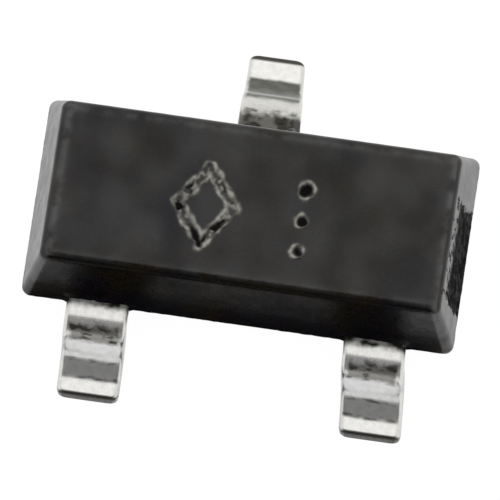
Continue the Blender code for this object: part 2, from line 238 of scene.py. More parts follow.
@dataclass(frozen=True)
class Span:
    """The range from low to high, and the values that its ends become."""

    low: float
    high: float
    first: float = 0.0
    last: float = 1.0

    def stretch(self, value: Feed) -> dict[str | int, Any]:
        """Feed a range node.

        Args:
            value: The value that it stretches and clamps.

        Returns:
            What the node's inputs get.
        """
        return {
            "Value": value,
            "From Min": self.low,
            "From Max": self.high,
            "To Min": self.first,
            "To Max": self.last,
        }


@dataclass(frozen=True)
class Pattern:
    """Lumps, and the range that they are stretched to."""

    lumps: Lumps
    span: Span

    def draw(self, made: bpy.types.Material, place: Feed) -> bpy.types.Node:
        """Draw the pattern at a place in millimetres and return the node that gives it."""
        lumps = add_node(made, Kind.NOISE, {}, self.lumps.read(place))
        return add_node(made, Kind.RANGE, SMOOTH, self.span.stretch(lumps))


class Finish:
    """What every finish shares: how its tree starts and ends."""

    def start(self, name: str) -> bpy.types.Material:
        """Make a material with an empty node tree.

        Args:
            name: The name of the material.

        Returns:
            The material.
        """
        material = bpy.data.materials.new(name)
        material.use_nodes = True
        material.node_tree.nodes.clear()
        return material

    def place(self, made: bpy.types.Material, stretch: Point = (1, 1, 1)) -> bpy.types.Node:
        """Give the place on the piece in millimetres.

        Args:
            made: The material that gets the nodes.
            stretch: Factors on X, Y and Z. Less than one draws a pattern out.

        Returns:
            The node that gives it.
        """
        place = add_node(made, Kind.PLACE, {}, {})
        scale = tuple(METRES_TO_MM * factor for factor in stretch)
        return add_node(made, Kind.STRETCH, {}, {"Vector": (place, "Object"), "Scale": scale})

    def marks(self, made: bpy.types.Material, names: Sequence[str]) -> dict[str, Feed]:
        """Read what the mesh carries at its points.

        Args:
            made: The material that gets the nodes.
            names: The names under which the mesh carries it.

        Returns:
            For each name, the node and output that give it.
        """
        return {
            name: (add_node(made, Kind.PAINTED, {"attribute_name": name}, {}), "Fac")
            for name in names
        }

    def finish(
        self, made: bpy.types.Material, inputs: dict[Socket, Any]
    ) -> bpy.types.Material:
        """End the tree with a Principled shader.

        Args:
            made: The material to end.
            inputs: What the shader's inputs get.

        Returns:
            The material.
        """
        feeds = {socket.value: feed for socket, feed in inputs.items()}
        shader = add_node(made, Kind.PRINCIPLED, {}, feeds)
        add_node(made, Kind.SURFACE, {}, {"Surface": shader})
        return made


@dataclass(frozen=True)
class ScarWindow:
    """Where the feed of the mould broke off, in millimetres."""

    start_x: float
    middle_y: float
    half_length: float
    low: float
    high: float


@dataclass(frozen=True)
class MouldingCompound(Finish):
    """Epoxy novolac filled with silica, moulded in spark-eroded steel.

    The eye sees a dull black with a fine grain, faintly brown and violet in
    patches, a greyish rub with a painted highlight along the edges of the top,
    and painted shade that dulls the lower parts of the long walls.
    """

    black: str = "#080808"
    brown_black: str = "#18130A"
    violet_black: str = "#0F0B12"
    # The rubbed tone is partly wear and partly a painted highlight along the top's edges.
    rub_highlight_tone: str = "#403F3E"
    filler_grey: str = "#242320"
    mark_floor: str = "#242320"
    mark_char: str = "#050505"
    mark_ash: str = "#939188"
    fracture: str = "#0C0C0C"
    fracture_light: str = "#262523"
    ior: float = 1.47
    patches: Pattern = Pattern(Lumps(0.62, 2.0), Span(0.38, 0.62))
    clouds: Lumps = Lumps(0.11, 3.0)
    black_clouds: Span = Span(0.35, 0.75)
    rub_highlight_clouds: Span = Span(0.30, 0.62)
    rough_clouds: Span = Span(0.25, 0.75, 0.21, 0.30)
    # Silica grains are 20 microns at most. They are drawn a little finer than
    # that, where they only just show, as faint light specks.
    specks: Pattern = Pattern(Lumps(0.016, 1.0), Span(0.60, 0.80, 0.0, 0.6))
    chips: Pattern = Pattern(Lumps(0.035, 3.0), Span(0.56, 0.72))
    spark_grain: Lumps = Lumps(0.030, 2.0)
    spark_depth: float = 0.0009
    # Where resin stands over the silica the skin mirrors a little more.
    resin: Pattern = Pattern(Lumps(0.434, 1.5), Span(0.30, 0.70, 0.37, 0.60))
    fine_resin: Pattern = Pattern(Lumps(0.22, 2.0), Span(0.3, 0.7, -0.05, 0.05))
    # The walls keep more of the spark-eroded texture than the polished top,
    # and have faint lines along them. They start this far below the top.
    wall_start: tuple[float, float] = (0.08, 0.03)
    wall_lines: Pattern = Pattern(Lumps(0.045, 2.0), Span(0.3, 0.7, -0.08, 0.08))
    wall_stretch: Point = (1.0, 0.10, 1.0)
    wall_gloss: float = 1.55
    wall_roughness: float = 0.03
    # Painted shade: the long walls mirror less on their lower parts, where their
    # draft brings them this near to the body's half width.
    lower_wall_shade: tuple[float, float] = (0.065, 0.005)
    lower_wall_shade_gloss: float = 0.40
    # A duller line runs where two inserts of the mould meet.
    witness_height: float = 0.55
    witness_line: Span = Span(0.0, 0.055, 0.72, 1.0)
    char_gloss: Span = Span(0.2, 0.9, 1.0, 0.12)
    fracture_gloss: Span = Span(0.0, 1.0, 1.0, 0.35)
    fracture_roughness: Span = Span(0.0, 1.0, 0.0, 0.50)
    hollows: Pattern = Pattern(Lumps(0.07, 2.0), Span(0.45, 0.62, 1.0, 0.0))
    hollow_gloss: Span = Span(0.0, 1.0, 1.0, 0.2)
    # How ragged the fracture's rim is, how soft each of its sides, and how far
    # its top breaks out in spots.
    fracture_ragged: Pattern = Pattern(Lumps(0.09, 3.0), Span(0.2, 0.8, -0.04, 0.04))
    fracture_spots: Pattern = Pattern(Lumps(0.055, 2.0), Span(0.50, 0.62, 0.0, 0.12))
    fracture_start: float = 0.005
    fracture_ends: tuple[float, float] = (0.012, 0.006)
    fracture_low: float = 0.01
    fracture_top: tuple[float, float] = (0.04, 0.12)

    def material(self, scar: ScarWindow, top: float, side: float) -> bpy.types.Material:
        """Build the material.

        Args:
            scar: Where the feed's fracture shows.
            top: Height of the top face in millimetres.
            side: Distance of the long sides from the middle.

        Returns:
            The material.
        """
        made = self.start("moulding_compound_spark_eroded")
        place = self.place(made)
        axes = add_node(made, Kind.AXES, {}, {"Vector": place})
        marks = self.marks(made, SKIN_MARKS)
        clouds = add_node(made, Kind.NOISE, {}, self.clouds.read(place))
        broken = self.fracture_mask(made, place, axes, scar)
        deep, shallow = self.wall_start
        wall_span = Span(top - deep, top - shallow, 1.0, 0.0)
        wall = add_node(made, Kind.RANGE, SMOOTH, wall_span.stretch((axes, "Z")))
        bare = self.gloss(made, place, axes, wall, side)
        grain = add_node(made, Kind.NOISE, {}, self.spark_grain.read(place))
        relief = {"Height": grain, "Distance": self.spark_depth * MM}
        return self.finish(
            made,
            {
                Socket.COLOUR: self.colour(made, place, clouds, marks, broken),
                Socket.ROUGHNESS: self.roughness(made, clouds, wall, broken),
                Socket.NORMAL: add_node(made, Kind.BUMP, {}, relief),
                Socket.IOR: self.ior,
                Socket.GLOSS: self.worn_gloss(made, place, bare, marks, broken),
            },
        )

    def colour(
        self,
        made: bpy.types.Material,
        place: Feed,
        clouds: Feed,
        marks: dict[str, Feed],
        broken: Feed,
    ) -> Feed:
        """Lay the compound's tones over each other.

        Args:
            made: The material that gets the nodes.
            place: The place in millimetres.
            clouds: The middling pattern that the finish shares.
            marks: What the mesh carries.
            broken: The mask of the fracture.

        Returns:
            The colour.
        """
        blacker = add_node(made, Kind.RANGE, SMOOTH, self.black_clouds.stretch(clouds))
        patchy_rub_highlight = add_node(made, Kind.RANGE, SMOOTH, self.rub_highlight_clouds.stretch(clouds))
        # The rub along the top's edges, partly wear and partly a painted highlight.
        rub_highlight_amount = add_node(made, Kind.MATHS, TIMES, {0: marks["edge_rub_highlight"], 1: patchy_rub_highlight})
        chips = self.chips.draw(made, place)
        chipped = {"Factor": chips, UNDER: self.fracture, OVER: self.fracture_light}
        torn = add_node(made, Kind.MIX, COLOURS, chipped)
        base = self.brown_black
        for amount, tone in (
            (self.patches.draw(made, place), self.violet_black),
            (blacker, self.black),
            (self.specks.draw(made, place), self.filler_grey),
            (rub_highlight_amount, self.rub_highlight_tone),
            (marks["mark_floor"], self.mark_floor),
            (marks["mark_char"], self.mark_char),
            (marks["mark_ash"], self.mark_ash),
            (broken, torn),
        ):
            base = add_node(made, Kind.MIX, COLOURS, {"Factor": amount, UNDER: base, OVER: tone})
        return base

    def gloss(
        self, made: bpy.types.Material, place: Feed, axes: Feed, wall: Feed, side: float
    ) -> Feed:
        """Work out how much the skin mirrors as it comes from the mould, with painted shade on the
        lower long walls.

        Args:
            made: The material that gets the nodes.
            place: The place in millimetres.
            axes: The node that gives the place by axis.
            wall: The mask of the walls.
            side: Distance of the long sides from the middle.

        Returns:
            The specular level.
        """
        lines = self.wall_lines.draw(made, self.place(made, self.wall_stretch))
        lines = add_node(made, Kind.MATHS, TIMES, {0: lines, 1: wall})
        gloss = self.resin.draw(made, place)
        for change in (self.fine_resin.draw(made, place), lines):
            gloss = add_node(made, Kind.MATHS, PLUS, {0: gloss, 1: change})

        away = add_node(made, Kind.MATHS, UNSIGNED, {0: (axes, "Y")})
        # Painted shade on the lower parts of the long walls.
        far, near = self.lower_wall_shade
        lower_shade = Span(side - far, side - near, 1.0, self.lower_wall_shade_gloss)
        lower_shade = add_node(made, Kind.RANGE, SMOOTH, lower_shade.stretch(away))
        smoother = Span(0.0, 1.0, 1.0, self.wall_gloss).stretch(wall)
        smoother = add_node(made, Kind.RANGE, SMOOTH, smoother)
        height = add_node(made, Kind.MATHS, MINUS, {0: (axes, "Z"), 1: self.witness_height})
        height = add_node(made, Kind.MATHS, UNSIGNED, {0: height})
        witness = add_node(made, Kind.RANGE, SMOOTH, self.witness_line.stretch(height))
        for factor in (lower_shade, smoother, witness):
            gloss = add_node(made, Kind.MATHS, TIMES, {0: gloss, 1: factor})
        return gloss

    def worn_gloss(
        self,
        made: bpy.types.Material,
        place: Feed,
        gloss: Feed,
        marks: dict[str, Feed],
        broken: Feed,
    ) -> Feed:
        """Take the gloss from the fracture and from what the laser charred.

        Args:
            made: The material that gets the nodes.
            place: The place in millimetres.
            gloss: The gloss of the sound skin.
            marks: What the mesh carries.
            broken: The mask of the fracture.

        Returns:
            The specular level.
        """
        hollow = {0: self.hollows.draw(made, place), 1: broken}
        hollow = add_node(made, Kind.MATHS, TIMES, hollow)
        for span, amount in (
            (self.hollow_gloss, hollow),
            (self.fracture_gloss, broken),
            (self.char_gloss, marks["mark_char"]),
        ):
            factor = add_node(made, Kind.RANGE, SMOOTH, span.stretch(amount))
            gloss = add_node(made, Kind.MATHS, TIMES, {0: gloss, 1: factor})
        return gloss

    def roughness(
        self, made: bpy.types.Material, clouds: Feed, wall: Feed, broken: Feed
    ) -> Feed:
        """Work out how rough the skin is.

        Args:
            made: The material that gets the nodes.
            clouds: The middling pattern that the finish shares.
            wall: The mask of the walls.
            broken: The mask of the fracture.

        Returns:
            The roughness.
        """
        rough = add_node(made, Kind.RANGE, SMOOTH, self.rough_clouds.stretch(clouds))
        torn = add_node(made, Kind.RANGE, SMOOTH, self.fracture_roughness.stretch(broken))
        eroded = add_node(made, Kind.MATHS, TIMES, {0: wall, 1: self.wall_roughness})
        for change in (torn, eroded):
            rough = add_node(made, Kind.MATHS, PLUS, {0: rough, 1: change})
        return rough

    def fracture_mask(
        self, made: bpy.types.Material, place: Feed, axes: Feed, scar: ScarWindow
    ) -> Feed:
        """Mask the place where the mould's feed broke off.

        Args:
            made: The material that gets the nodes.
            place: The place in millimetres.
            axes: The node that gives the place by axis.
            scar: Where the fracture shows.

        Returns:
            The mask, 1 on the fracture.
        """
        ragged = self.fracture_ragged.draw(made, place)
        along = add_node(made, Kind.MATHS, MINUS, {0: (axes, "Y"), 1: scar.middle_y})
        along = add_node(made, Kind.MATHS, UNSIGNED, {0: along})
        along = add_node(made, Kind.MATHS, PLUS, {0: along, 1: ragged})
        up = add_node(made, Kind.MATHS, PLUS, {0: (axes, "Z"), 1: ragged})
        spots = self.fracture_spots.draw(made, place)
        reach = add_node(made, Kind.MATHS, MINUS, {0: up, 1: spots})
        soft = self.fracture_start
        inner, outer = self.fracture_ends
        below, above = self.fracture_top
        half = scar.half_length
        mask = None
        for span, value in (
            (Span(scar.start_x - soft, scar.start_x + soft), (axes, "X")),
            (Span(half - inner, half + outer, 1.0, 0.0), along),
            (Span(scar.low - self.fracture_low, scar.low + self.fracture_low), up),
            (Span(scar.high - below, scar.high + above, 1.0, 0.0), reach),
        ):
            side = add_node(made, Kind.RANGE, SMOOTH, span.stretch(value))
            mask = add_node(made, Kind.MATHS, TIMES, {0: mask, 1: side}) if mask else side
        return mask


@dataclass(frozen=True)
class WearAndShadeZones:
    """Where a lead's plate is worn or painted with shade, in millimetres along the strip
    from the body.

    The stain is resin that bled from the mould. The wiped zone is where the
    forming tool slid over the plate, and on the upper bend it is partly painted
    shade. The band is painted shade, a dark reflection painted into the plate of
    the bends, and the lines across the bends are darker painted shade. The veiled
    zone is the shank, which its grip left a little greyer. The cut zone ends the
    strip, where the shear drew the plate down; its dark tone there is partly
    painted shade.
    """

    stain_end: float
    stain_strength: tuple[float, float]
    wiped_and_shaded: tuple[float, float]
    shade_band: tuple[float, float]
    shade_band_strength: float
    shade_lines: tuple[float, ...]
    veiled: tuple[float, float]
    veil_strength: float
    cut_shade_length: float


@dataclass(frozen=True)
class StripPlace:
    """Where a point of the strip lies, in millimetres, as the masks read it.

    Along is the distance from the body, and inward that from the nearer side.
    Both also come ragged, and wavy is along with less of that raggedness. Left
    is what is left of the strip towards the toe.
    """

    along: Feed
    inward: Feed
    left: Feed
    ragged_along: Feed
    ragged_inward: Feed
    wavy: Feed


@dataclass(frozen=True)
class TinPlate(Finish):
    """Matt tin, electroplated on stamped copper alloy.

    The eye sees a soft silver with a faint grain drawn along the strip, greyer
    margins along its sides, dark scuffs and painted shade on the upper bend, a
    band and lines of painted shade on the bends, a dark ragged stain where the
    strip leaves the body, and a toe edge darkened by the shear and by painted
    shade.
    """

    bright: str = "#F8F7F3"
    grey: str = "#ECEBE7"
    # The wiped tone is partly wear and partly painted shade on the upper bend; the veil is greyed
    # with it too.
    wiped_and_shaded: str = "#A3A29B"
    scuffed: str = "#4A4943"
    # The band tones are painted shade: a dark reflection of the bends painted into the plate.
    shade_band: str = "#6E6F68"
    shade_band_dark: str = "#62635B"
    # The line tone is painted shade: dark lines painted across the bends.
    shade_line_tone: str = "#4A4A45"
    stained: str = "#1C1B17"
    # The cut tone darkens the toe's edge: partly the sheared edge, partly painted shade.
    cut_and_shade: str = "#4C4B47"
    # Crystals of matt tin are a few microns wide. They are drawn this coarse to
    # show at all.
    crystals: Lumps = Lumps(0.045, 2.0)
    grey_crystals: Span = Span(0.30, 0.70)
    crystal_depth: float = 0.00012
    ragged: Pattern = Pattern(Lumps(0.11, 2.0), Span(0.25, 0.75, -0.014, 0.014))
    ragged_in_shade_bands: float = 0.50
    scratches: Lumps = Lumps(0.048, 1.7)
    scratch_stretch: Point = (0.55, 1.1, 1.0)
    scratch_depth: float = 0.0006
    scuffs: Span = Span(0.49, 0.66)
    scuff_edge: float = 0.025
    scuff_edge_gain: float = 0.15
    shade_band_lines: Span = Span(0.35, 0.65)
    shade_line_half: float = 0.013
    shade_line_breaks: Span = Span(0.38, 0.62, 0.10, 0.95)
    # How soft a zone's ends and sides are, and how far it keeps from the sides.
    end_softness: float = 0.018
    side_softness: float = 0.016
    wiped_and_shaded_margin: float = 0.042
    veiled_margin: float = 0.010
    shade_band_margin: float = 0.022
    shade_line_margin: float = 0.030
    side_veil: Span = Span(0.016, 0.044, 0.38, 0.0)
    upper_face: Span = Span(-0.02, 0.0)
    stain_spots: Lumps = Lumps(0.085, 1.2)
    stain_levels: tuple[float, float] = (0.42, 0.62)
    stain_softness: tuple[float, float] = (0.030, 0.020)
    cut_shade_softness: tuple[float, float] = (0.010, 0.008)
    # Rolling left faint streaks along the strip, which the plate follows.
    drawn_stretch: Point = (1.0, 0.12, 1.0)
    drawn: Pattern = Pattern(Lumps(0.018, 2.0), Span(0.2, 0.8, 0.23, 0.27))
    scuffed_roughness: Span = Span(0.0, 1.0, 0.0, 0.17)

    def zone(
        self,
        made: bpy.types.Material,
        along: Feed,
        inward: Feed,
        ends: tuple[float, float],
        margin: float,
    ) -> Feed:
        """Mask a zone of the strip's upper face, soft at its ends and sides.

        Args:
            made: The material that gets the nodes.
            along: Distance along the strip.
            inward: Distance in from its nearer side.
            ends: Where the zone starts and ends along the strip.
            margin: How far it keeps from the sides.

        Returns:
            The mask.
        """
        start, end = ends
        soft, sides = self.end_softness, self.side_softness
        enter = Span(start - soft, start + soft).stretch(along)
        leave = Span(end - soft, end + soft, 1.0, 0.0).stretch(along)
        within = Span(margin - sides, margin + sides).stretch(inward)
        mask = add_node(made, Kind.RANGE, SMOOTH, enter)
        for side in (leave, within):
            side = add_node(made, Kind.RANGE, SMOOTH, side)
            mask = add_node(made, Kind.MATHS, TIMES, {0: mask, 1: side})
        return mask

    def material(self, name: str, zones: WearAndShadeZones) -> bpy.types.Material:
        """Build the material.

        Args:
            name: The name of the material.
            zones: Where the plate is worn, and where shade is painted on it.

        Returns:
            The material.
        """
        made = self.start(name)
        place = self.place(made)
        strip = self.strip_place(made, place)
        crystals = add_node(made, Kind.NOISE, {}, self.crystals.read(place))
        stretched = self.place(made, self.scratch_stretch)
        scratches = add_node(made, Kind.NOISE, {}, self.scratches.read(stretched))
        ragged = (strip.ragged_along, strip.ragged_inward)
        # The wiped zone: wear, and painted shade on the upper bend.
        wiped_and_shaded = self.zone(made, *ragged, zones.wiped_and_shaded, self.wiped_and_shaded_margin)
        scuff = self.scuff_mask(made, strip, scratches, wiped_and_shaded, zones.wiped_and_shaded[0])

        greyer = add_node(made, Kind.RANGE, SMOOTH, self.grey_crystals.stretch(crystals))
        layers = [(greyer, self.grey), (wiped_and_shaded, self.wiped_and_shaded), (scuff, self.scuffed)]
        layers += self.veil_and_shade_bands(made, strip, scratches, zones)
        layers.append((self.stain_mask(made, place, strip, zones), self.stained))
        # The toe's dark edge, partly the shear and partly painted shade.
        before, past = self.cut_shade_softness
        cut_and_shade = Span(zones.cut_shade_length - before, zones.cut_shade_length + past, 1.0, 0.0)
        cut_and_shade = add_node(made, Kind.RANGE, SMOOTH, cut_and_shade.stretch(strip.left))
        base = self.bright
        for amount, tone in (*layers, (cut_and_shade, self.cut_and_shade)):
            base = add_node(made, Kind.MIX, COLOURS, {"Factor": amount, UNDER: base, OVER: tone})

        rough = self.drawn.draw(made, self.place(made, self.drawn_stretch))
        duller = add_node(made, Kind.RANGE, SMOOTH, self.scuffed_roughness.stretch(scuff))
        rough = add_node(made, Kind.MATHS, PLUS, {0: rough, 1: duller})
        plate = {"Height": crystals, "Distance": self.crystal_depth * MM}
        plate = add_node(made, Kind.BUMP, {}, plate)
        torn = add_node(made, Kind.MATHS, TIMES, {0: scuff, 1: scratches})
        torn = {"Height": torn, "Distance": self.scratch_depth * MM, "Normal": plate}
        return self.finish(
            made,
            {
                Socket.COLOUR: base,
                Socket.METALLIC: 1.0,
                Socket.ROUGHNESS: rough,
                Socket.NORMAL: add_node(made, Kind.BUMP, {}, torn),
            },
        )

    def strip_place(self, made: bpy.types.Material, place: Feed) -> StripPlace:
        """Read where a point of the strip lies.

        Args:
            made: The material that gets the nodes.
            place: The place in millimetres.

        Returns:
            Its distances along and across the strip.
        """
        marks = self.marks(made, STRIP_MARKS)
        along, inward = marks["strip_along"], marks["strip_inward"]
        ragged = self.ragged.draw(made, place)
        calmer = add_node(made, Kind.MATHS, TIMES, {0: ragged, 1: self.ragged_in_shade_bands})
        return StripPlace(
            along=along,
            inward=inward,
            left=marks["strip_left"],
            ragged_along=add_node(made, Kind.MATHS, PLUS, {0: along, 1: ragged}),
            ragged_inward=add_node(made, Kind.MATHS, PLUS, {0: inward, 1: ragged}),
            wavy=add_node(made, Kind.MATHS, PLUS, {0: along, 1: calmer}),
        )

    def veil_and_shade_bands(
        self, made: bpy.types.Material, strip: StripPlace, scratches: Feed, zones: WearAndShadeZones
    ) -> list[tuple[Feed, Feed | str]]:
        """Work out the veil, and the band and lines of painted shade on the bends.

        Args:
            made: The material that gets the nodes.
            strip: Where a point of the strip lies.
            scratches: The scratches' pattern.
            zones: Where the plate is worn, and where shade is painted on it.

        Returns:
            For each layer, from below, how much of it shows and its colour.
        """
        ragged = (strip.ragged_along, strip.inward)
        veil = self.zone(made, *ragged, zones.veiled, self.veiled_margin)
        veil = add_node(made, Kind.MATHS, TIMES, {0: veil, 1: zones.veil_strength})
        sides = add_node(made, Kind.RANGE, SMOOTH, self.side_veil.stretch(strip.inward))
        veil = add_node(made, Kind.MATHS, LARGER, {0: veil, 1: sides})
        wavy = (strip.wavy, strip.ragged_inward)
        # A band of painted shade on the bends, a dark reflection painted into the plate.
        shaded_band = self.zone(made, *wavy, zones.shade_band, self.shade_band_margin)
        shaded_band = add_node(made, Kind.MATHS, TIMES, {0: shaded_band, 1: zones.shade_band_strength})
        lines = add_node(made, Kind.RANGE, SMOOTH, self.shade_band_lines.stretch(scratches))
        lined = {"Factor": lines, UNDER: self.shade_band, OVER: self.shade_band_dark}
        layers = [(veil, self.wiped_and_shaded)]
        layers.append((shaded_band, add_node(made, Kind.MIX, COLOURS, lined)))
        # Lines of painted shade across the bends, broken by the scratches' pattern.
        depth = add_node(made, Kind.RANGE, SMOOTH, self.shade_line_breaks.stretch(scratches))
        for spot in zones.shade_lines:
            ends = (spot - self.shade_line_half, spot + self.shade_line_half)
            shade_line = self.zone(made, *wavy, ends, self.shade_line_margin)
            layers.append((add_node(made, Kind.MATHS, TIMES, {0: shade_line, 1: depth}), self.shade_line_tone))
        return layers

    def scuff_mask(
        self,
        made: bpy.types.Material,
        strip: StripPlace,
        scratches: Feed,
        wiped_and_shaded: Feed,
        start: float,
    ) -> Feed:
        """Mask the scuffs in the wiped zone, which also holds painted shade. They are denser where
        it starts.

        Args:
            made: The material that gets the nodes.
            strip: Where a point of the strip lies.
            scratches: The scratches' pattern.
            wiped_and_shaded: The mask of the wiped zone and its painted shade.
            start: Where the zone starts.

        Returns:
            The mask.
        """
        ends = (start, start + self.scuff_edge)
        ragged = (strip.ragged_along, strip.ragged_inward)
        edge = self.zone(made, *ragged, ends, self.wiped_and_shaded_margin)
        denser = Span(0.0, 1.0, 0.0, self.scuff_edge_gain).stretch(edge)
        denser = add_node(made, Kind.RANGE, SMOOTH, denser)
        lines = add_node(made, Kind.MATHS, PLUS, {0: scratches, 1: denser})
        lines = add_node(made, Kind.RANGE, SMOOTH, self.scuffs.stretch(lines))
        return add_node(made, Kind.MATHS, TIMES, {0: wiped_and_shaded, 1: lines})

    def stain_mask(
        self, made: bpy.types.Material, place: Feed, strip: StripPlace, zones: WearAndShadeZones
    ) -> Feed:
        """Mask the stain of resin by the body, on the strip's upper face.

        Args:
            made: The material that gets the nodes.
            place: The place in millimetres.
            strip: Where a point of the strip lies.
            zones: Where the plate is worn, and where shade is painted on it.

        Returns:
            The mask.
        """
        before, past = self.stain_softness
        near = Span(zones.stain_end - before, zones.stain_end + past, 1.0, 0.0)
        stain = add_node(made, Kind.RANGE, SMOOTH, near.stretch(strip.ragged_along))
        upper = add_node(made, Kind.RANGE, SMOOTH, self.upper_face.stretch(strip.inward))
        spots = Pattern(self.stain_spots, Span(*self.stain_levels, *zones.stain_strength))
        for factor in (spots.draw(made, place), upper):
            stain = add_node(made, Kind.MATHS, TIMES, {0: stain, 1: factor})
        return stain


@dataclass(frozen=True)
class GrainedFinish(Finish):
    """A finish of two tones and one grain, alike all over a small piece."""

    name: str
    first: str
    second: str
    grain: Lumps
    depth: float
    roughness: tuple[float, float]
    metallic: float = 1.0
    tones: Span = Span(0.35, 0.65)
    stretch: Point = (1.0, 1.0, 1.0)
    rough_levels: tuple[float, float] = (0.2, 0.8)

    def material(self) -> bpy.types.Material:
        """Build the material.

        Returns:
            The material.
        """
        made = self.start(self.name)
        grain = self.grain.read(self.place(made, self.stretch))
        grain = add_node(made, Kind.NOISE, {}, grain)
        tone = add_node(made, Kind.RANGE, SMOOTH, self.tones.stretch(grain))
        toned = {"Factor": tone, UNDER: self.first, OVER: self.second}
        rough = Span(*self.rough_levels, *self.roughness).stretch(grain)
        relief = {"Height": grain, "Distance": self.depth * MM}
        return self.finish(
            made,
            {
                Socket.COLOUR: add_node(made, Kind.MIX, COLOURS, toned),
                Socket.METALLIC: self.metallic,
                Socket.ROUGHNESS: add_node(made, Kind.RANGE, SMOOTH, rough),
                Socket.NORMAL: add_node(made, Kind.BUMP, {}, relief),
            },
        )


# The end of a lead, sheared after plating: dull grey-brown copper alloy with tin
# smeared over it in upright streaks, kept darker as painted shade.
SHEARED_END_AND_SHADE = GrainedFinish(
    name="sheared_lead_end_and_shade",
    first="#4E4942",
    second="#686661",
    grain=Lumps(0.02, 2.0),
    depth=0.002,
    roughness=(0.40, 0.55),
    tones=Span(0.40, 0.60),
    stretch=(1.0, 1.0, 0.15),
)
# Polished silicon under a passivation film: a blue-grey mirror with fine cells.
SILICON = GrainedFinish(
    name="silicon_polished",
    first="#51565F",
    second="#6A6F7A",
    grain=Lumps(0.012, 3.0),
    depth=0.0002,
    roughness=(0.12, 0.20),
    metallic=0.6,
)
# Soft solder, reflowed: dull grey with a coarse frosted grain.
SOLDER = GrainedFinish(
    name="solder_reflowed",
    first="#A7A59F",
    second="#8B8983",
    grain=Lumps(0.03, 3.0),
    depth=0.001,
    roughness=(0.35, 0.50),
)
# Drawn copper wire: reddish, with faint die lines along it.
COPPER = GrainedFinish(
    name="copper_wire_drawn",
    first="#D48A62",
    second="#B87350",
    grain=Lumps(0.01, 3.0),
    depth=0.0004,
    roughness=(0.22, 0.32),
    stretch=(0.2, 1.0, 1.0),
)


def make_piece(
    name: str,
    points: Sequence[Point],
    faces: Sequence[Sequence[int]],
    materials: Sequence[bpy.types.Material],
    sharp_degrees: float = 40.0,
) -> bpy.types.Object:
    """Make an object in metres from points in millimetres.

    Args:
        name: The piece's name.
        points: The points of the mesh in millimetres.
        faces: The corners of each face, by number.
        materials: The materials in its slots.
        sharp_degrees: Edges that bend more than this are shaded sharp.

    Returns:
        The object, linked to the scene.
    """
    mesh = bpy.data.meshes.new(name)
    mesh.from_pydata([(x * MM, y * MM, z * MM) for x, y, z in points], [], faces)
    mesh.validate()
    mesh.shade_smooth()
    mesh.set_sharp_from_angle(angle=math.radians(sharp_degrees))
    for material in materials:
        mesh.materials.append(material)
    piece = bpy.data.objects.new(name, mesh)
    bpy.context.scene.collection.objects.link(piece)
    return piece


def mark_points(piece: bpy.types.Object, marks: dict[str, Sequence[float]]) -> None:
    """Give the points of a piece what its finish reads there.

    Args:
        piece: The piece.
        marks: For each name, the value at each point.
    """
    for name, values in marks.items():
        layer = piece.data.attributes.new(name, "FLOAT", "POINT")
        layer.data.foreach_set("value", values)


def graded_steps(
    low: float, high: float, fine: Sequence[tuple[float, float]], small: float, large: float
) -> list[float]:
    """Return places from low to high, closer together inside the fine ranges.

    Args:
        low: The first place.
        high: The last place.
        fine: Ranges where the small step is used.
        small: The step inside them.
        large: The step elsewhere.

    Returns:
        The places in order.
    """
    places = [low]
    while True:
        here = places[-1]
        step = small if any(a <= here <= b for a, b in fine) else large
        if here + LONGEST_LAST_STEP * step >= high:
            break
        places.append(here + step)
    places.append(high)
    return places


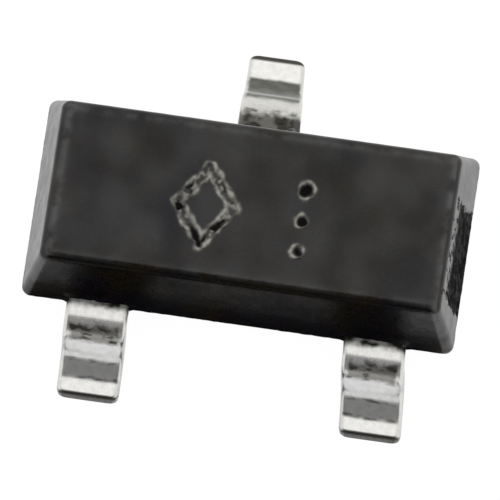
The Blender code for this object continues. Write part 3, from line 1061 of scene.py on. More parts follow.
@dataclass
class LaserMark:
    """A mark burnt into the top: a hollow lozenge and a row of three pits.

    It stands for no letter or number. Each stroke has an ashen rim on both
    sides and a floor with charred pits, as a laser leaves in black compound.
    """

    lozenge_centre: tuple[float, float] = (-0.300, -0.040)
    lozenge_half: tuple[float, float] = (0.190, 0.262)
    pit_x: float = 0.350
    pit_rows: tuple[float, float, float] = (0.155, -0.055, -0.265)
    pit_radii: tuple[float, float, float] = (0.056, 0.042, 0.044)
    stroke_half: float = 0.034
    stroke_edge: float = 0.016
    rim_width: float = 0.0115
    rim_height: float = 0.004
    rims_reached: float = 5.0
    depth: float = 0.010
    # The stroke's sides waver in these two sizes.
    waver: Unevenness = Unevenness(0.010, 0.055, 3.0)
    fine_waver: Unevenness = Unevenness(0.006, 0.024, 5.0)
    # The burn is uneven along the stroke, with charred patches and fine crumbs.
    unevenness: Unevenness = Unevenness(0.5, 0.060, 9.0)
    crumbs: Unevenness = Unevenness(1.0, 0.026, 23.0)
    crumb_levels: tuple[float, float] = (-0.05, 0.40)
    crumb_ash: float = 0.55
    char: Unevenness = Unevenness(1.0, 0.075, 17.0)
    char_levels: tuple[float, float] = (-0.05, 0.28)
    # Each pair is a least amount, and what unevenness or crumbs add to it.
    rim_widening: tuple[float, float] = (0.45, 1.1)
    ash_amount: tuple[float, float] = (0.16, 0.95)
    ash_levels: tuple[float, float] = (0.25, 0.75)
    ash_grain: tuple[float, float] = (0.8, 0.6)
    least_rim: float = 0.3
    # The depth of sound floor, of uneven floor and of char, as shares.
    depth_shares: tuple[float, float, float] = (0.6, 0.4, 0.8)

    def stroke_distance(self, x: float, y: float) -> tuple[float, bool]:
        """Return how far a place on the top is from the middle of the nearest stroke.

        Args:
            x: Place along the body.
            y: Place across it.

        Returns:
            The distance in millimetres, less the larger half width of a pit,
            and whether a pit is the nearest.
        """
        across = abs(x - self.lozenge_centre[0])
        along = abs(y - self.lozenge_centre[1])
        half_x, half_y = self.lozenge_half
        length = math.hypot(half_x, half_y)
        part = ((half_x - across) * half_x + along * half_y) / (length * length)
        part = min(1.0, max(0.0, part))
        side = math.hypot(across - half_x * (1 - part), along - half_y * part)
        pit = min(
            math.hypot(x - self.pit_x, y - row) - (radius - self.stroke_half)
            for row, radius in zip(self.pit_rows, self.pit_radii)
        )
        return min(side, pit), pit < side

    def burn(self, x: float, y: float) -> tuple[float, float, float, float]:
        """Work out the mark at a place on the top.

        Args:
            x: Place along the body.
            y: Place across it.

        Returns:
            The change of height, and how much floor, char and ash show.
        """
        distance, in_pit = self.stroke_distance(x, y)
        if distance > self.stroke_half + self.rims_reached * self.rim_width:
            return 0.0, 0.0, 0.0, 0.0
        here = (x, y, 0.0)
        distance += self.waver.at(here) + self.fine_waver.at(here)
        uneven = 0.5 + self.unevenness.at(here)
        fine = self.crumbs.at(here)
        floor = smooth_step(self.stroke_half, self.stroke_half - self.stroke_edge, distance)
        narrowest, widening = self.rim_widening
        rim_width = self.rim_width * (narrowest + widening * uneven)
        rim = math.exp(-(((distance - self.stroke_half) / rim_width) ** 2))
        char = floor * (1.0 if in_pit else smooth_step(*self.char_levels, self.char.at(here)))
        least, more = self.ash_amount
        even, grainy = self.ash_grain
        ash = rim * (least + more * smooth_step(*self.ash_levels, uneven))
        ash *= even + grainy * fine
        crumbs = floor * smooth_step(*self.crumb_levels, fine)
        ash = min(1.0, max(ash, self.crumb_ash * crumbs * (1 - char), 0.0))
        sound, ragged, charred = self.depth_shares
        height = rim * self.rim_height * (self.least_rim + uneven)
        height -= floor * self.depth * (sound + ragged * uneven + charred * char)
        return height, floor, char, ash


@dataclass
class MouldSkin:
    """The surface of the moulded body, with its flash, fracture and laser mark."""

    low: Vector
    high: Vector
    exits: Sequence[tuple[float, Side]]
    mark: LaserMark = field(default_factory=LaserMark)
    parting_height: float = 0.38
    parting_land: float = 0.02
    corner_radius: float = 0.06
    top_draft_ends: float = 0.116
    top_draft_sides: float = 0.132
    top_edge_radius: float = 0.06
    bottom_draft_ends: float = 0.07
    bottom_draft_sides: float = 0.08
    bottom_edge_radius: float = 0.035
    scar_length: float = 0.70
    scar_centre_y: float = -0.07
    scar_height: float = 0.35
    scar_depth: float = 0.012
    scar_face_x: float = 1.30
    scar_below: float = 0.05
    # How soft the dent's ends are, and its top and bottom, outside and inside.
    scar_end_edge: float = 0.015
    scar_edges: tuple[float, float] = (0.005, 0.015)
    scar_ragged: Unevenness = Unevenness(0.02, 0.06, 11.0)
    scar_roughness: tuple[Unevenness, Unevenness] = (
        Unevenness(0.006, 0.045, 13.0),
        Unevenness(0.004, 0.02, 19.0),
    )
    wall_unevenness: Unevenness = Unevenness(0.0008, 0.09)
    top_unevenness: tuple[Unevenness, Unevenness] = (
        Unevenness(0.0012, 0.35),
        Unevenness(0.0005, 0.06),
    )
    top_edge_calm: float = 0.03
    # Flash stands on the parting land and, thicker, round each lead's exit.
    flash: float = 0.001
    ragged_flash: Unevenness = Unevenness(0.003, 0.05, 2.0)
    exit_flash: float = 0.014
    exit_flash_even: float = 0.55
    exit_flash_ragged: Unevenness = Unevenness(0.45, 0.035, 7.0)
    exit_flash_across: float = 0.030
    exit_flash_upright: float = 0.035
    lead_half_width: float = 0.21
    lead_half_thickness: float = 0.065
    mark_margin: float = 0.06
    sharp_angle: float = 60.0
    fine_step: float = 0.0062
    coarse_step: float = 0.0125
    corner_steps: int = 6
    upper_steps: int = 26
    lower_steps: int = 9
    edge_steps: int = 9
    # The rub runs along the top's ends and edges; it is partly wear and partly a painted
    # highlight.
    rub_highlight_width: float = 0.024
    rub_highlight_inset_left: float = 0.004
    rub_highlight_inset_right: float = -0.020
    rub_highlight_outside: float = 0.03
    rub_highlight_line: float = 0.75
    rub_highlight_haze: float = 0.35
    rub_highlight_haze_widths: float = 3.0
    rub_highlight_front_edge: float = 0.30
    rub_highlight_rear_edge: float = 0.60

    def inset(self, rise: float, height: float, draft: float, radius: float) -> float:
        """Return how far a drafted wall has drawn in.

        Args:
            rise: Height above the parting land.
            height: Height of the flat face above it.
            draft: How far the wall leans in by the flat face.
            radius: Radius of the edge between them.

        Returns:
            The distance in millimetres.
        """
        lean = math.atan2(draft, height)
        flat_edge = draft + radius * math.tan((math.pi / 2 - lean) / 2)
        sine = (rise - height + radius) / radius
        if sine <= math.sin(lean):
            return draft * rise / height
        return flat_edge - radius * math.sqrt(max(0.0, 1 - sine * sine))

    def levels(self, upwards: bool) -> list[tuple[float, float, float]]:
        """List the rings of one mould half.

        Args:
            upwards: True for the upper half.

        Returns:
            Inset of the ends, inset of the sides and height of each ring, from
            the parting land to the flat face.
        """
        half_land = self.parting_land / 2
        if upwards:
            height = self.high.z - self.parting_height - half_land
            ends, sides, radius = self.top_draft_ends, self.top_draft_sides, self.top_edge_radius
            steps, direction = self.upper_steps, 1
        else:
            height = self.parting_height - half_land - self.low.z
            ends, sides = self.bottom_draft_ends, self.bottom_draft_sides
            radius, steps, direction = self.bottom_edge_radius, self.lower_steps, -1
        lean = math.atan2(min(ends, sides), height)
        tangent = height - radius + radius * math.sin(lean)
        rises = [tangent * step / steps for step in range(steps)]
        for step in range(self.edge_steps + 1):
            angle = lean + (math.pi / 2 - lean) * step / self.edge_steps
            rises.append(height - radius + radius * math.sin(angle))
        start = self.parting_height + direction * half_land
        return [
            (
                self.inset(rise, height, ends, radius),
                self.inset(rise, height, sides, radius),
                start + direction * rise,
            )
            for rise in rises
        ]

    def columns(self, half_flat: float) -> list[float]:
        """Return places along the top as shares of its half length.

        Args:
            half_flat: Half the length of the flat top.

        Returns:
            Places from -1 to 1.
        """
        mark, margin = self.mark, self.mark_margin
        left = mark.lozenge_centre[0] - mark.lozenge_half[0] - margin
        right = mark.lozenge_centre[0] + mark.lozenge_half[0] + margin
        pit = max(mark.pit_radii) + margin
        fine = [(left, right), (mark.pit_x - pit, mark.pit_x + pit)]
        places = graded_steps(-half_flat, half_flat, fine, self.fine_step, self.coarse_step)
        return [place / half_flat for place in places]

    def rows(self, half_straight: float) -> list[tuple[float, float, float]]:
        """Return places across the top, round corners included.

        Args:
            half_straight: Half the width of the flat top between its corners.

        Returns:
            For each row the share of the straight width, and the sine and
            cosine of its angle round the corner.
        """
        mark, margin = self.mark, self.mark_margin
        low = mark.lozenge_centre[1] - mark.lozenge_half[1] - margin
        high = mark.lozenge_centre[1] + mark.lozenge_half[1] + margin
        straight = graded_steps(
            -half_straight, half_straight, [(low, high)], self.fine_step, self.coarse_step
        )
        front = []
        for step in range(self.corner_steps):
            angle = math.pi / 2 * (1 - step / self.corner_steps)
            front.append((-1.0, -math.sin(angle), math.cos(angle)))
        middle = [(place / half_straight, 0.0, 1.0) for place in straight]
        rear = [(1.0, -sine, cosine) for _, sine, cosine in reversed(front)]
        return front + middle + rear

    def row_place(
        self, row: tuple[float, float, float], half_length: float, half_width: float
    ) -> tuple[float, float]:
        """Return half the length and the Y of a row at one level.

        Args:
            row: The row, as rows gives it.
            half_length: Half the length of the body at that level.
            half_width: Half its width there.

        Returns:
            How far the row reaches along X, and its Y.
        """
        share, sine, cosine = row
        radius = self.corner_radius
        reach = half_length - radius + radius * cosine
        return reach, share * (half_width - radius) + sine * radius

    def rim(
        self, columns: Sequence[float], rows: Sequence[tuple[float, float, float]]
    ) -> list[tuple[int, int]]:
        """Return the columns and rows that a ring runs through, anticlockwise.

        Args:
            columns: All the columns.
            rows: All the rows.

        Returns:
            The column and the row of each place of the ring.
        """
        last_column, last_row = len(columns) - 1, len(rows) - 1
        ring = [(i, 0) for i in range(last_column + 1)]
        ring += [(last_column, j) for j in range(1, last_row + 1)]
        ring += [(i, last_row) for i in range(last_column - 1, -1, -1)]
        ring += [(0, j) for j in range(last_row - 1, 0, -1)]
        return ring

    def outward(
        self, place: tuple[int, int], columns: Sequence[float], rows: Sequence[Sequence[float]]
    ) -> tuple[float, float]:
        """Return the plan direction that the wall faces at a place of the rim.

        Args:
            place: Its column and row.
            columns: All the columns.
            rows: All the rows.

        Returns:
            A unit vector in plan.
        """
        column, row = place
        _, sine, cosine = rows[row]
        if row in (0, len(rows) - 1) and 0 < column < len(columns) - 1:
            return 0.0, math.copysign(1.0, sine)
        side = 1.0 if column > 0 else -1.0
        return side * cosine, sine

    def wall_push(self, x: float, y: float, z: float, out: tuple[float, float]) -> float:
        """Return how far a place on the wall stands proud of the drafted form.

        Args:
            x: Place along the body.
            y: Place across it.
            z: Its height.
            out: The plan direction that the wall faces there.

        Returns:
            The distance outwards in millimetres.
        """
        here = (x, y, z)
        push = self.wall_unevenness.at(here)
        above = abs(z - self.parting_height)
        if above <= self.parting_land / 2 + ROUNDING:
            push += self.flash + abs(self.ragged_flash.at(here))
        for centre, side in self.exits:
            if out[1] * side.value < FACING:
                continue
            across = abs(x - centre) - self.lead_half_width
            across = smooth_step(self.exit_flash_across, 0.0, across)
            upright = above - self.lead_half_thickness
            upright = smooth_step(self.exit_flash_upright, 0.0, upright)
            ragged = self.exit_flash_even + self.exit_flash_ragged.at(here)
            push += self.exit_flash * across * upright * ragged
        if out[0] > FACING:
            push -= self.scar_dent(here)
        return push

    def scar_dent(self, here: Point) -> float:
        """Return how deep the feed's fracture is at a place on the right end.

        Args:
            here: The place.

        Returns:
            The depth in millimetres.
        """
        ragged = self.scar_ragged.at(here)
        along = abs(here[1] - self.scar_centre_y) + ragged
        up = here[2] + ragged
        half = self.scar_length / 2
        low = self.parting_height + self.parting_land / 2
        high = low + self.scar_height
        narrow, wide = self.scar_edges
        inside = smooth_step(half, half - self.scar_end_edge, along)
        inside *= smooth_step(high + narrow, high - wide, up)
        inside *= smooth_step(low - wide, low + narrow, up)
        coarse, fine = self.scar_roughness
        return inside * (self.scar_depth + coarse.at(here) + fine.at(here))

    def build(self, material: bpy.types.Material) -> bpy.types.Object:
        """Make the mesh and its marks.

        Args:
            material: The compound.

        Returns:
            The piece.
        """
        half_length = (self.high.x - self.low.x) / 2
        half_width = (self.high.y - self.low.y) / 2
        upper = self.levels(True)
        levels = self.levels(False)[::-1] + upper
        flat_length = half_length - upper[-1][0]
        flat_width = half_width - upper[-1][1]
        columns = self.columns(flat_length)
        rows = self.rows(flat_width - self.corner_radius)
        ring = self.rim(columns, rows)
        points: list[Point] = []
        burns: list[tuple[float, float, float, float]] = []

        for inset_x, inset_y, height in levels[:-1]:
            for place in ring:
                row = rows[place[1]]
                reach, y = self.row_place(row, half_length - inset_x, half_width - inset_y)
                x = columns[place[0]] * reach
                out = self.outward(place, columns, rows)
                push = self.wall_push(x, y, height, out)
                points.append((x + out[0] * push, y + out[1] * push, height))
                burns.append((0.0, 0.0, 0.0, self.rub_highlight(x, y, height, flat_length, flat_width)))

        for row in rows:
            reach, y = self.row_place(row, flat_length, flat_width)
            for column in columns:
                x = column * reach
                rise, floor, char, ash = self.mark.burn(x, y)
                rise += sum(part.at((x, y, 0.0)) for part in self.top_unevenness)
                from_edge = min(flat_length - abs(x), flat_width - abs(y))
                rise *= smooth_step(0.0, self.top_edge_calm, from_edge)
                rub_highlight = self.rub_highlight(x, y, self.high.z, flat_length, flat_width)
                points.append((x, y, self.high.z + rise))
                burns.append((floor, char, ash, rub_highlight))

        faces = self.join(ring, len(levels) - 1, len(columns), len(rows))
        piece = make_piece("moulded_skin", points, faces, [material], self.sharp_angle)
        mark_points(piece, dict(zip(SKIN_MARKS, zip(*burns))))
        return piece

    def join(
        self, ring: Sequence[tuple[int, int]], loop_count: int, width: int, depth: int
    ) -> list[tuple[int, ...]]:
        """Join the points of the walls, the top and the underside by faces.

        Args:
            ring: The column and row of each place of a ring.
            loop_count: How many rings of points the walls have.
            width: How many columns the top has.
            depth: How many rows.

        Returns:
            The corners of each face, by number.
        """
        count = len(ring)
        top_start = loop_count * count
        loops = [range(k * count, (k + 1) * count) for k in range(loop_count)]
        loops.append([top_start + j * width + i for i, j in ring])
        faces: list[tuple[int, ...]] = []
        for lower, above in zip(loops, loops[1:]):
            for k in range(count):
                after = (k + 1) % count
                faces.append((lower[k], lower[after], above[after], above[k]))
        for j in range(depth - 1):
            for i in range(width - 1):
                corner = top_start + j * width + i
                faces.append((corner, corner + 1, corner + width + 1, corner + width))
        faces.append(tuple(reversed(loops[0])))
        return faces

    def rub_highlight(self, x: float, y: float, z: float, half_length: float, half_width: float) -> float:
        """Return how much rub and painted highlight a place has, from 0 to 1.

        The rub and painted highlight run as a line along the ends of the top, with a
        haze beside it, and fainter along its front and rear edges.

        Args:
            x: Place along the body.
            y: Place across it.
            z: Its height.
            half_length: Half the length of the flat top.
            half_width: Half its width.

        Returns:
            The amount of wear and painted highlight.
        """
        if z < self.high.z - self.top_edge_radius / 2:
            return 0.0
        rub_highlight_inset = self.rub_highlight_inset_left if x < 0 else self.rub_highlight_inset_right
        from_end = half_length - abs(x) - rub_highlight_inset
        from_side = half_width - abs(y)
        if min(half_length - abs(x), from_side) < -self.rub_highlight_outside:
            return 0.0
        haze_width = self.rub_highlight_haze_widths * self.rub_highlight_width
        rub_highlight = self.rub_highlight_line * math.exp(-((from_end / self.rub_highlight_width) ** 2))
        rub_highlight += self.rub_highlight_haze * math.exp(-abs(from_end) / haze_width)
        edge = self.rub_highlight_rear_edge if y > 0 else self.rub_highlight_front_edge
        return min(1.0, rub_highlight + edge * math.exp(-((from_side / self.rub_highlight_width) ** 2)))

    def scar_window(self) -> ScarWindow:
        """Say where the compound's fracture shows.

        Returns:
            The place and reach of the fracture.
        """
        low = self.parting_height - self.scar_below
        high = self.parting_height + self.parting_land / 2 + self.scar_height
        half = self.scar_length / 2
        return ScarWindow(self.scar_face_x, self.scar_centre_y, half, low, high)


@dataclass
class GullWingLead:
    """One stamped, plated and bent lead, with the end that the body hides."""

    node: str
    side: Side
    wear_and_shade: WearAndShadeZones
    centre: float
    toe_set: float
    land_far: float
    toe_width: float = 0.42
    # These five come from the solids.
    land_left: float = 0.0
    land_right: float = 0.0
    land_near: float = 0.0
    toe_reach: float = 0.0
    exit_distance: float = 0.0
    width: float = 0.42
    thickness: float = 0.13
    parting_height: float = 0.38
    exit_run: float = 0.095
    upper_radius: float = 0.04
    lower_radius: float = 0.22
    largest_shank_angle: float = math.radians(76)
    edge_round: float = 0.028
    toe_corner: float = 0.055
    notch_radius: float = 0.045
    sheared_and_shaded_stations: int = 2
    toe_rounding: float = 0.8
    roundest: float = 0.9
    underside_inward: float = -0.05
    waviness: Unevenness = Unevenness(0.0020, 0.17, 4.0)
    waviness_growth: float = 4.0
    sharp_angle: float = 50.0
    across_steps: int = 22
    arc_steps: int = 5
    bend_step: float = 0.010

    def fit(self, half_width: float) -> None:
        """Take the reach of the land and the toe from the lead's solid.

        Args:
            half_width: Half the width of the body, where the lead comes out.
        """
        low, high = (corner * METRES_TO_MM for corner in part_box(self.node))
        rear = self.side is Side.REAR
        self.land_left, self.land_right = low.x, high.x
        self.land_near = low.y if rear else -high.y
        self.toe_reach = high.y if rear else -low.y
        self.exit_distance = half_width

    def bends(self) -> tuple[float, float, float, float, float]:
        """Work out the bends.

        Returns:
            The middle radii of both bends, their angle, and the lengths of the
            shank and the foot.
        """
        upper = self.upper_radius + self.thickness / 2
        lower = self.lower_radius + self.thickness / 2
        drop = self.parting_height - self.thickness / 2
        steepest = math.acos(max(-1.0, 1 - drop / (upper + lower)))
        angle = min(self.largest_shank_angle, steepest)
        shank = (drop - (upper + lower) * (1 - math.cos(angle))) / math.sin(angle)
        run = (upper + lower) * math.sin(angle) + shank * math.cos(angle)
        foot = self.toe_reach - self.exit_distance - self.exit_run - run
        return upper, lower, angle, shank, foot

    def length(self) -> float:
        """Return the length of the flat blank outside the body's middle."""
        upper, lower, angle, shank, foot = self.bends()
        return self.exit_distance + self.exit_run + (upper + lower) * angle + shank + foot

    def middle_line(self, distance: float) -> tuple[float, float, float]:
        """Follow the middle of the bent strip.

        Args:
            distance: How far along the strip, from the middle of the body.

        Returns:
            Reach, height and tilt there.
        """
        upper, lower, angle, shank, _ = self.bends()
        start = self.exit_distance + self.exit_run
        along = distance - start
        if along <= 0:
            return distance, self.parting_height, 0.0
        tilt = min(along / upper, angle)
        reach = start + upper * math.sin(tilt)
        height = self.parting_height - upper * (1 - math.cos(tilt))
        along -= upper * angle
        if along <= 0:
            return reach, height, tilt
        straight = min(along, shank)
        reach += straight * math.cos(angle)
        height -= straight * math.sin(angle)
        along -= shank
        if along <= 0:
            return reach, height, angle
        tilt = max(angle - along / lower, 0.0)
        reach += lower * (math.sin(angle) - math.sin(tilt))
        height -= lower * (math.cos(tilt) - math.cos(angle))
        return reach + max(0.0, along - lower * angle), height, tilt

    def stations(self) -> list[tuple[float, float, float, float]]:
        """List the sections along the strip.

        Returns:
            Distance, left and right edge and half thickness of each section.
        """
        half = self.thickness / 2
        sections = []
        for step in range(self.arc_steps + 1):
            angle = math.pi / 2 * step / self.arc_steps
            shrink = self.edge_round * (1 - math.sin(angle))
            distance = self.land_near + self.edge_round * (1 - math.cos(angle))
            left, right = self.land_left + shrink, self.land_right - shrink
            sections.append((distance, left, right, half - shrink))
        sections.append((self.land_far, self.land_left, self.land_right, half))
        inner = self.walk(self.land_far, self.exit_distance, self.bend_step)
        outer = self.walk(self.exit_distance, self.length(), self.bend_step)
        end = self.length()
        for distance in inner + outer[1:-1]:
            if distance < end - self.toe_corner:
                bite = self.notch_bite(distance)
                left = self.centre - self.width / 2 + bite
                sections.append((distance, left, left + self.width - 2 * bite, half))
        for step in range(1, 2 * self.arc_steps + 1):
            angle = math.pi / 2 * step / (2 * self.arc_steps)
            distance = end - self.toe_corner * (1 - math.sin(angle))
            corner = self.toe_corner * (1 - math.cos(angle))
            past = max(0.0, distance - (end - self.edge_round)) / self.edge_round
            shrink = self.edge_round * (1 - math.sqrt(max(0.0, 1 - past * past)))
            shrink *= self.toe_rounding
            left = self.centre - self.width / 2 + corner
            right = self.centre + self.width / 2 - corner
            sections.append((distance, left, right, half - shrink))
        return sections

    def walk(self, start: float, end: float, step: float) -> list[float]:
        """Return evenly spaced places from start to end, both included."""
        count = max(1, math.ceil((end - start) / step))
        return [start + (end - start) * k / count for k in range(count + 1)]

    def notch_bite(self, distance: float) -> float:
        """Return how deep the lock notches are at a place along the strip."""
        offset = abs(distance - (self.land_far + self.exit_distance) / 2)
        return math.sqrt(max(0.0, self.notch_radius**2 - offset**2))

    def section(self, left: float, right: float, half: float) -> list[tuple[float, float]]:
        """Return the points of one rounded section, seen from the toe.

        Args:
            left: Its left edge.
            right: Its right edge.
            half: Half its thickness.

        Returns:
            Points across and above the middle line.
        """
        radius = min(self.edge_round, half * self.roundest)
        points = []
        for step in range(self.across_steps + 1):
            part = step / self.across_steps
            points.append((left + radius + (right - left - 2 * radius) * part, half))
        for corner, quarter in ((-1, 1), (1, 0)):
            for step in range(1, self.arc_steps + 1):
                angle = math.pi / 2 * (quarter - step / self.arc_steps)
                height = -corner * (half - radius) + radius * math.sin(angle)
                points.append((right - radius + radius * math.cos(angle), height))
        for step in range(1, self.across_steps + 1):
            part = step / self.across_steps
            points.append((right - radius - (right - left - 2 * radius) * part, -half))
        for corner, quarter in ((-1, 3), (1, 2)):
            for step in range(1, self.arc_steps + 1):
                angle = math.pi / 2 * (quarter - step / self.arc_steps)
                height = corner * (half - radius) + radius * math.sin(angle)
                points.append((left + radius + radius * math.cos(angle), height))
        return points[:-1]

    def build(
        self, plate: bpy.types.Material, sheared_and_shaded: bpy.types.Material
    ) -> bpy.types.Object:
        """Make the mesh.

        Args:
            plate: The tin plate.
            sheared_and_shaded: The finish of the cut end, partly painted shade.

        Returns:
            The piece.
        """
        total = self.length()
        narrowing = (self.width - self.toe_width) / 2
        points: list[Point] = []
        faces: list[tuple[int, ...]] = []
        inward: list[float] = []
        along: list[float] = []
        count = 0
        stations = self.stations()
        for distance, left, right, half in stations:
            section = self.section(left, right, half)
            count = len(section)
            reach, height, tilt = self.middle_line(distance)
            outside = max(0.0, distance - self.exit_distance) / (total - self.exit_distance)
            for across, above in section:
                squeeze = 1 - 2 * narrowing * outside / self.width
                x = self.centre + (across - self.centre) * squeeze + self.toe_set * outside
                beside = min(across - left, right - across)
                inward.append(beside if above > 0 else self.underside_inward)
                along.append(distance - self.exit_distance)
                growth = min(1.0, self.waviness_growth * outside)
                above += growth * self.waviness.at((x, distance, above))
                y = self.side.value * (reach + above * math.sin(tilt))
                points.append((x, y, max(0.0, height + above * math.cos(tilt))))
        for k in range(len(stations) - 1):
            for i in range(count):
                after = (i + 1) % count
                a, b = k * count, (k + 1) * count
                faces.append((a + i, a + after, b + after, b + i))
        last = (len(stations) - 1) * count
        faces.append(tuple(range(count - 1, -1, -1)))
        faces.append(tuple(range(last, last + count)))
        if self.side is Side.REAR:
            faces = [tuple(reversed(face)) for face in faces]
        materials = [plate, sheared_and_shaded]
        piece = make_piece(self.node + "_plated", points, faces, materials, self.sharp_angle)
        first = (len(stations) - 1 - self.sheared_and_shaded_stations) * count
        for polygon in piece.data.polygons:
            cut_and_shade = polygon.index == len(faces) - 1 or first <= polygon.index < len(faces) - 2
            polygon.material_index = 1 if cut_and_shade else 0
        left = [total - self.exit_distance - reached for reached in along]
        mark_points(piece, dict(zip(STRIP_MARKS, (along, inward, left))))
        return piece


# Along each lead, the band and the lines across the bends are painted shade, and the wiped places
# are partly painted shade.
FRONT_WEAR_AND_SHADE = WearAndShadeZones(
    stain_end=0.040,
    stain_strength=(0.80, 1.0),
    wiped_and_shaded=(0.132, 0.215),
    shade_band=(0.43, 0.60),
    shade_band_strength=0.25,
    shade_lines=(0.440, 0.592),
    veiled=(0.20, 0.41),
    veil_strength=0.12,
    cut_shade_length=0.024,
)
REAR_WEAR_AND_SHADE = WearAndShadeZones(
    stain_end=0.094,
    stain_strength=(0.62, 0.90),
    wiped_and_shaded=(-0.05, 0.09),
    shade_band=(0.172, 0.545),
    shade_band_strength=1.0,
    shade_lines=(0.102,),
    veiled=(0.075, 0.205),
    veil_strength=0.42,
    cut_shade_length=0.036,
)


# How far inside the long side of the body the bond lands end.
BOND_LAND_INSET = 0.20


@dataclass
class Package:
    """The whole package: skin, leads and the pieces sealed inside."""

    leads: list[GullWingLead]
    skin: MouldSkin

    @staticmethod
    def from_frame() -> "Package":
        """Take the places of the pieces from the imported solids.

        Returns:
            The package, ready to build.
        """
        low, high = (corner * METRES_TO_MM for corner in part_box("mould_body"))
        half_width = (high.y - low.y) / 2
        leads = [
            GullWingLead(
                node="gate_lead",
                side=Side.FRONT,
                wear_and_shade=FRONT_WEAR_AND_SHADE,
                centre=-0.93,
                toe_set=0.005,
                land_far=half_width - BOND_LAND_INSET,
            ),
            GullWingLead(
                node="source_lead",
                side=Side.FRONT,
                wear_and_shade=FRONT_WEAR_AND_SHADE,
                centre=0.93,
                toe_set=0.047,
                land_far=half_width - BOND_LAND_INSET,
            ),
            GullWingLead(
                node="drain_lead",
                side=Side.REAR,
                wear_and_shade=REAR_WEAR_AND_SHADE,
                centre=0.02,
                toe_set=-0.020,
                land_far=0.38,
                toe_width=0.375,
            ),
        ]
        for lead in leads:
            lead.fit(half_width)
        exits = [(lead.centre, lead.side) for lead in leads]
        return Package(leads, MouldSkin(low, high, exits))

    def build(self) -> list[bpy.types.Object]:
        """Build and dress every piece, and tie each new mesh to the body it moves with.

        Returns:
            The plated leads, which the studio lights by themselves.
        """
        compound = MouldingCompound().material(
            self.skin.scar_window(), self.skin.high.z, self.skin.high.y
        )
        skin = self.skin.build(compound)
        self.settle(skin, "mould_body")
        sheared_and_shaded = SHEARED_END_AND_SHADE.material()
        plated = []
        for lead in self.leads:
            plate = TinPlate().material("tin_plate_" + lead.node, lead.wear_and_shade)
            piece = lead.build(plate, sheared_and_shaded)
            # The photo's dull front face shows no image of the bright leads.
            piece.visible_glossy = False
            self.settle(piece, lead.node)
            plated.append(piece)
        for nodes, finish in (
            (("mosfet_die",), SILICON),
            (("die_solder",), SOLDER),
            (("gate_wire", "source_wire_front", "source_wire_rear"), COPPER),
        ):
            material = finish.material()
            for node in nodes:
                self.dress_node(node, material)
        return plated

    def settle(self, piece: bpy.types.Object, node: str) -> None:
        """Tie a piece to the body, and hide the solid that it stands for.

        Args:
            piece: The piece.
            node: The solid that it replaces.
        """
        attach(piece, "root")
        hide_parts(node)
        log.info("%s: %d faces", piece.name, len(piece.data.polygons))

    def dress_node(self, node: str, material: bpy.types.Material) -> None:
        """Give a solid that keeps its shape its finish.

        Args:
            node: The solid.
            material: Its finish.
        """
        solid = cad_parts[node]
        for slot in solid.material_slots:
            slot.material = material
        log.info("%s: dressed with %s", node, material.name)


@dataclass(frozen=True)
class FloorPaint(Finish):
    """The white floor of the studio.

    Camera, gloss and glass see it bright of itself, and it keeps the shadow.
    """

    white: str = "#FFFFFF"
    diffuse: str = "#5A5A5A"
    glow: float = 0.95

    def material(self) -> bpy.types.Material:
        """Build the material.

        Returns:
            The material.
        """
        made = self.start("studio_floor")
        rays = add_node(made, Kind.RAYS, {}, {})
        seen = (rays, "Is Camera Ray")
        for other in ("Is Glossy Ray", "Is Transmission Ray"):
            seen = add_node(made, Kind.MATHS, LARGER, {0: seen, 1: (rays, other)})
        strength = add_node(made, Kind.MATHS, TIMES, {0: seen, 1: self.glow})
        glow = add_node(made, Kind.GLOW, {}, {"Color": self.white, "Strength": strength})
        paint = add_node(made, Kind.PAINT, {}, {"Color": self.diffuse})
        both = add_node(made, Kind.BOTH, {}, {0: paint, 1: glow})
        add_node(made, Kind.SURFACE, {}, {"Surface": both})
        return made


@dataclass(frozen=True)
class CardGlow(Finish):
    """A card of the studio, which shows one even tone."""

    name: str
    tone: str

    def material(self) -> bpy.types.Material:
        """Build the material.

        Returns:
            The material.
        """
        made = self.start(self.name)
        glow = add_node(made, Kind.GLOW, {}, {"Color": self.tone})
        add_node(made, Kind.SURFACE, {}, {"Surface": glow})
        return made


@dataclass(frozen=True)
class FloorCard:
    """A card just above the floor, with its reach along X and Y in millimetres."""

    name: str
    across: tuple[float, float]
    along: tuple[float, float]
    tone: str
    for_plated: bool


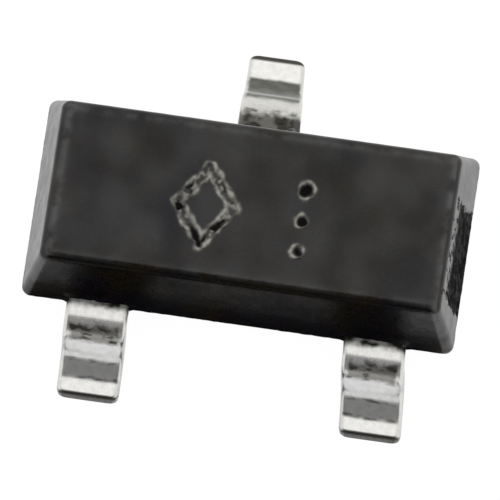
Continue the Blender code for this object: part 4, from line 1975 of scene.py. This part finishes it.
@dataclass
class Studio:
    """The floor, the light and the camera. None of it belongs to the object."""

    floor_size: float = 400.0
    floor_drop: float = 0.002
    sky: str = "#FFFFFF"
    sky_strength: float = 1.0
    card_radius: float = 30.0
    card_half_length: float = 14.0
    card_steps: int = 12
    overhead_angles: tuple[float, float] = (-70.0, 1.5)
    overhead_tone: str = "#858587"
    front_angles: tuple[float, float] = (-90.0, -70.0)
    light_tone: str = "#E6E6EA"
    card_lift: float = 0.001
    # The floor cards reach no further along X than the body does, so that its
    # upright corners mirror the open floor. The lines part them along Y.
    cards_across: tuple[float, float] = (-1.52, 1.40)
    left_lead_across: tuple[float, float] = (-1.18, -0.62)
    right_lead_across: tuple[float, float] = (0.60, 1.10)
    near_line: float = -0.72
    toe_line: float = -1.20
    middle_strip_line: float = -1.58
    side_strip_line: float = -1.72
    far_line: float = -30.0
    far_tone: str = "#101010"
    far_right_tone: str = "#707070"
    middle_strip_tone: str = "#868686"
    left_strip_tone: str = "#C0C0C0"
    right_strip_tone: str = "#D0D0D0"
    camera_distance: float = 100.0
    pixels_per_mm: float = 150.0
    image_width: int = 500
    azimuth: float = 8.3
    elevation: float = 75.7
    centre_pixel: tuple[float, float] = (251.1, 227.0)
    centre_height: float = 0.38
    sensor_width: float = 36.0
    clip_start: float = 1.0
    clip_end: float = 2000.0

    def build(self, plated: Sequence[bpy.types.Object]) -> None:
        """Make the floor, the cards, the sky and the camera.

        Args:
            plated: The pieces that see the light cards.
        """
        self.make_sky()
        self.make_floor()
        self.make_cards(plated)
        self.make_camera()
        log.info("studio: floor, cards, sky and camera")

    def make_sky(self) -> None:
        """Light the scene evenly from all round with a white sky."""
        world = bpy.data.worlds.new("studio_sky")
        world.use_nodes = True
        world.node_tree.nodes.clear()
        light = {"Color": self.sky, "Strength": self.sky_strength}
        glow = add_node(world, Kind.SKY_LIGHT, {}, light)
        add_node(world, Kind.SKY, {}, {"Surface": glow})
        bpy.context.scene.world = world

    def make_floor(self) -> None:
        """Lay a white floor that keeps a faint shadow of the object."""
        half = self.floor_size / 2
        drop = -self.floor_drop
        corners = [(x * half, y * half, drop) for x, y in ((-1, -1), (1, -1), (1, 1), (-1, 1))]
        material = FloorPaint().material()
        make_piece("studio_floor", corners, [(0, 1, 2, 3)], [material])

    def make_cards(self, plated: Sequence[bpy.types.Object]) -> None:
        """Set the cards whose reflections shape the metal and the mould edges.

        Args:
            plated: The pieces that see the light cards.
        """
        receivers = bpy.data.collections.new("plated_pieces")
        for piece in plated:
            receivers.objects.link(piece)
        # Angles run from straight up, to the rear where they are positive.
        for name, angles, tone in (
            ("overhead_shade", self.overhead_angles, self.overhead_tone),
            ("low_front_card", self.front_angles, self.light_tone),
        ):
            card = self.bent_card(name, angles, tone)
            card.light_linking.receiver_collection = receivers
        for spot in self.floor_cards():
            corners = [
                (spot.across[i], spot.along[j], self.card_lift)
                for i, j in ((0, 0), (1, 0), (1, 1), (0, 1))
            ]
            material = CardGlow(spot.name, spot.tone).material()
            card = self.hide_card(make_piece(spot.name, corners, [(0, 1, 2, 3)], [material]))
            if spot.for_plated:
                card.light_linking.receiver_collection = receivers

    def floor_cards(self) -> list[FloorCard]:
        """List the cards above the floor: bright ones for the leads, the rest for all.

        Returns:
            The cards.
        """
        outer_left, outer_right = self.cards_across
        left, right = self.left_lead_across, self.right_lead_across
        to_toes = (self.toe_line, self.near_line)
        past_toes = (self.far_line, self.toe_line)
        cards = [
            FloorCard(name, across, along, self.light_tone, True)
            for name, across, along in (
                ("near_floor", self.cards_across, to_toes),
                ("lead_floor_left", left, past_toes),
                ("lead_floor_right", right, past_toes),
            )
        ]
        for place, across, line, far_tone, strip_tone in (
            (
                "middle",
                (left[1], right[0]),
                self.middle_strip_line,
                self.far_tone,
                self.middle_strip_tone,
            ),
            (
                "left",
                (outer_left, left[0]),
                self.side_strip_line,
                self.far_tone,
                self.left_strip_tone,
            ),
            (
                "right",
                (right[1], outer_right),
                self.side_strip_line,
                self.far_right_tone,
                self.right_strip_tone,
            ),
        ):
            for name, along, tone in (
                ("floor_far_", (self.far_line, line), far_tone),
                ("floor_strip_", (line, self.toe_line), strip_tone),
            ):
                cards.append(FloorCard(name + place, across, along, tone, False))
        return cards

    def bent_card(
        self, name: str, angles: tuple[float, float], tone: str
    ) -> bpy.types.Object:
        """Make a card bent round the X axis.

        Args:
            name: The name of the card.
            angles: Its first and last angle in degrees from straight up.
            tone: Its tone, an sRGB hex value.

        Returns:
            The card.
        """
        points = []
        for step in range(self.card_steps + 1):
            turned = (angles[1] - angles[0]) * step / self.card_steps
            angle = math.radians(angles[0] + turned)
            y, z = self.card_radius * math.sin(angle), self.card_radius * math.cos(angle)
            points += [(-self.card_half_length, y, z), (self.card_half_length, y, z)]
        faces = [(2 * k, 2 * k + 1, 2 * k + 3, 2 * k + 2) for k in range(self.card_steps)]
        material = CardGlow(name, tone).material()
        return self.hide_card(make_piece(name, points, faces, [material]))

    def hide_card(self, card: bpy.types.Object) -> bpy.types.Object:
        """Leave a card in gloss only.

        Args:
            card: The card.

        Returns:
            The same card.
        """
        card.visible_camera = False
        card.visible_diffuse = False
        card.visible_transmission = False
        card.visible_volume_scatter = False
        card.visible_shadow = False
        return card

    def make_camera(self) -> None:
        """Set the camera at the photograph's angle, far away with a long lens."""
        turn, lift = math.radians(self.azimuth), math.radians(self.elevation)
        right = Vector((math.cos(turn), math.sin(turn), 0))
        back = Vector(
            (math.sin(turn) * math.cos(lift), -math.cos(turn) * math.cos(lift), math.sin(lift))
        )
        up = back.cross(right)
        middle = self.image_width / 2
        across = (self.centre_pixel[0] - middle) / self.pixels_per_mm
        above = (middle - self.centre_pixel[1]) / self.pixels_per_mm
        target = Vector((0, 0, self.centre_height)) - right * across - up * above
        data = bpy.data.cameras.new("photo_camera")
        data.sensor_width = self.sensor_width
        shown = self.image_width / self.pixels_per_mm
        data.lens = self.camera_distance * self.sensor_width / shown
        data.clip_start = self.clip_start * MM
        data.clip_end = self.clip_end * MM
        camera = bpy.data.objects.new("photo_camera", data)
        bpy.context.scene.collection.objects.link(camera)
        turned = Matrix((right, up, back)).transposed()
        camera.matrix_world = Matrix.Translation(
            (target + back * self.camera_distance) * MM
        ) @ turned.to_4x4()
        bpy.context.scene.camera = camera


def main() -> None:
    """Build the package, then the studio round it."""
    logging.basicConfig(level=logging.INFO, format="%(message)s")
    bpy.context.scene.view_settings.view_transform = "Standard"
    plated = Package.from_frame().build()
    Studio().build(plated)


if __name__ == "__main__":
    main()
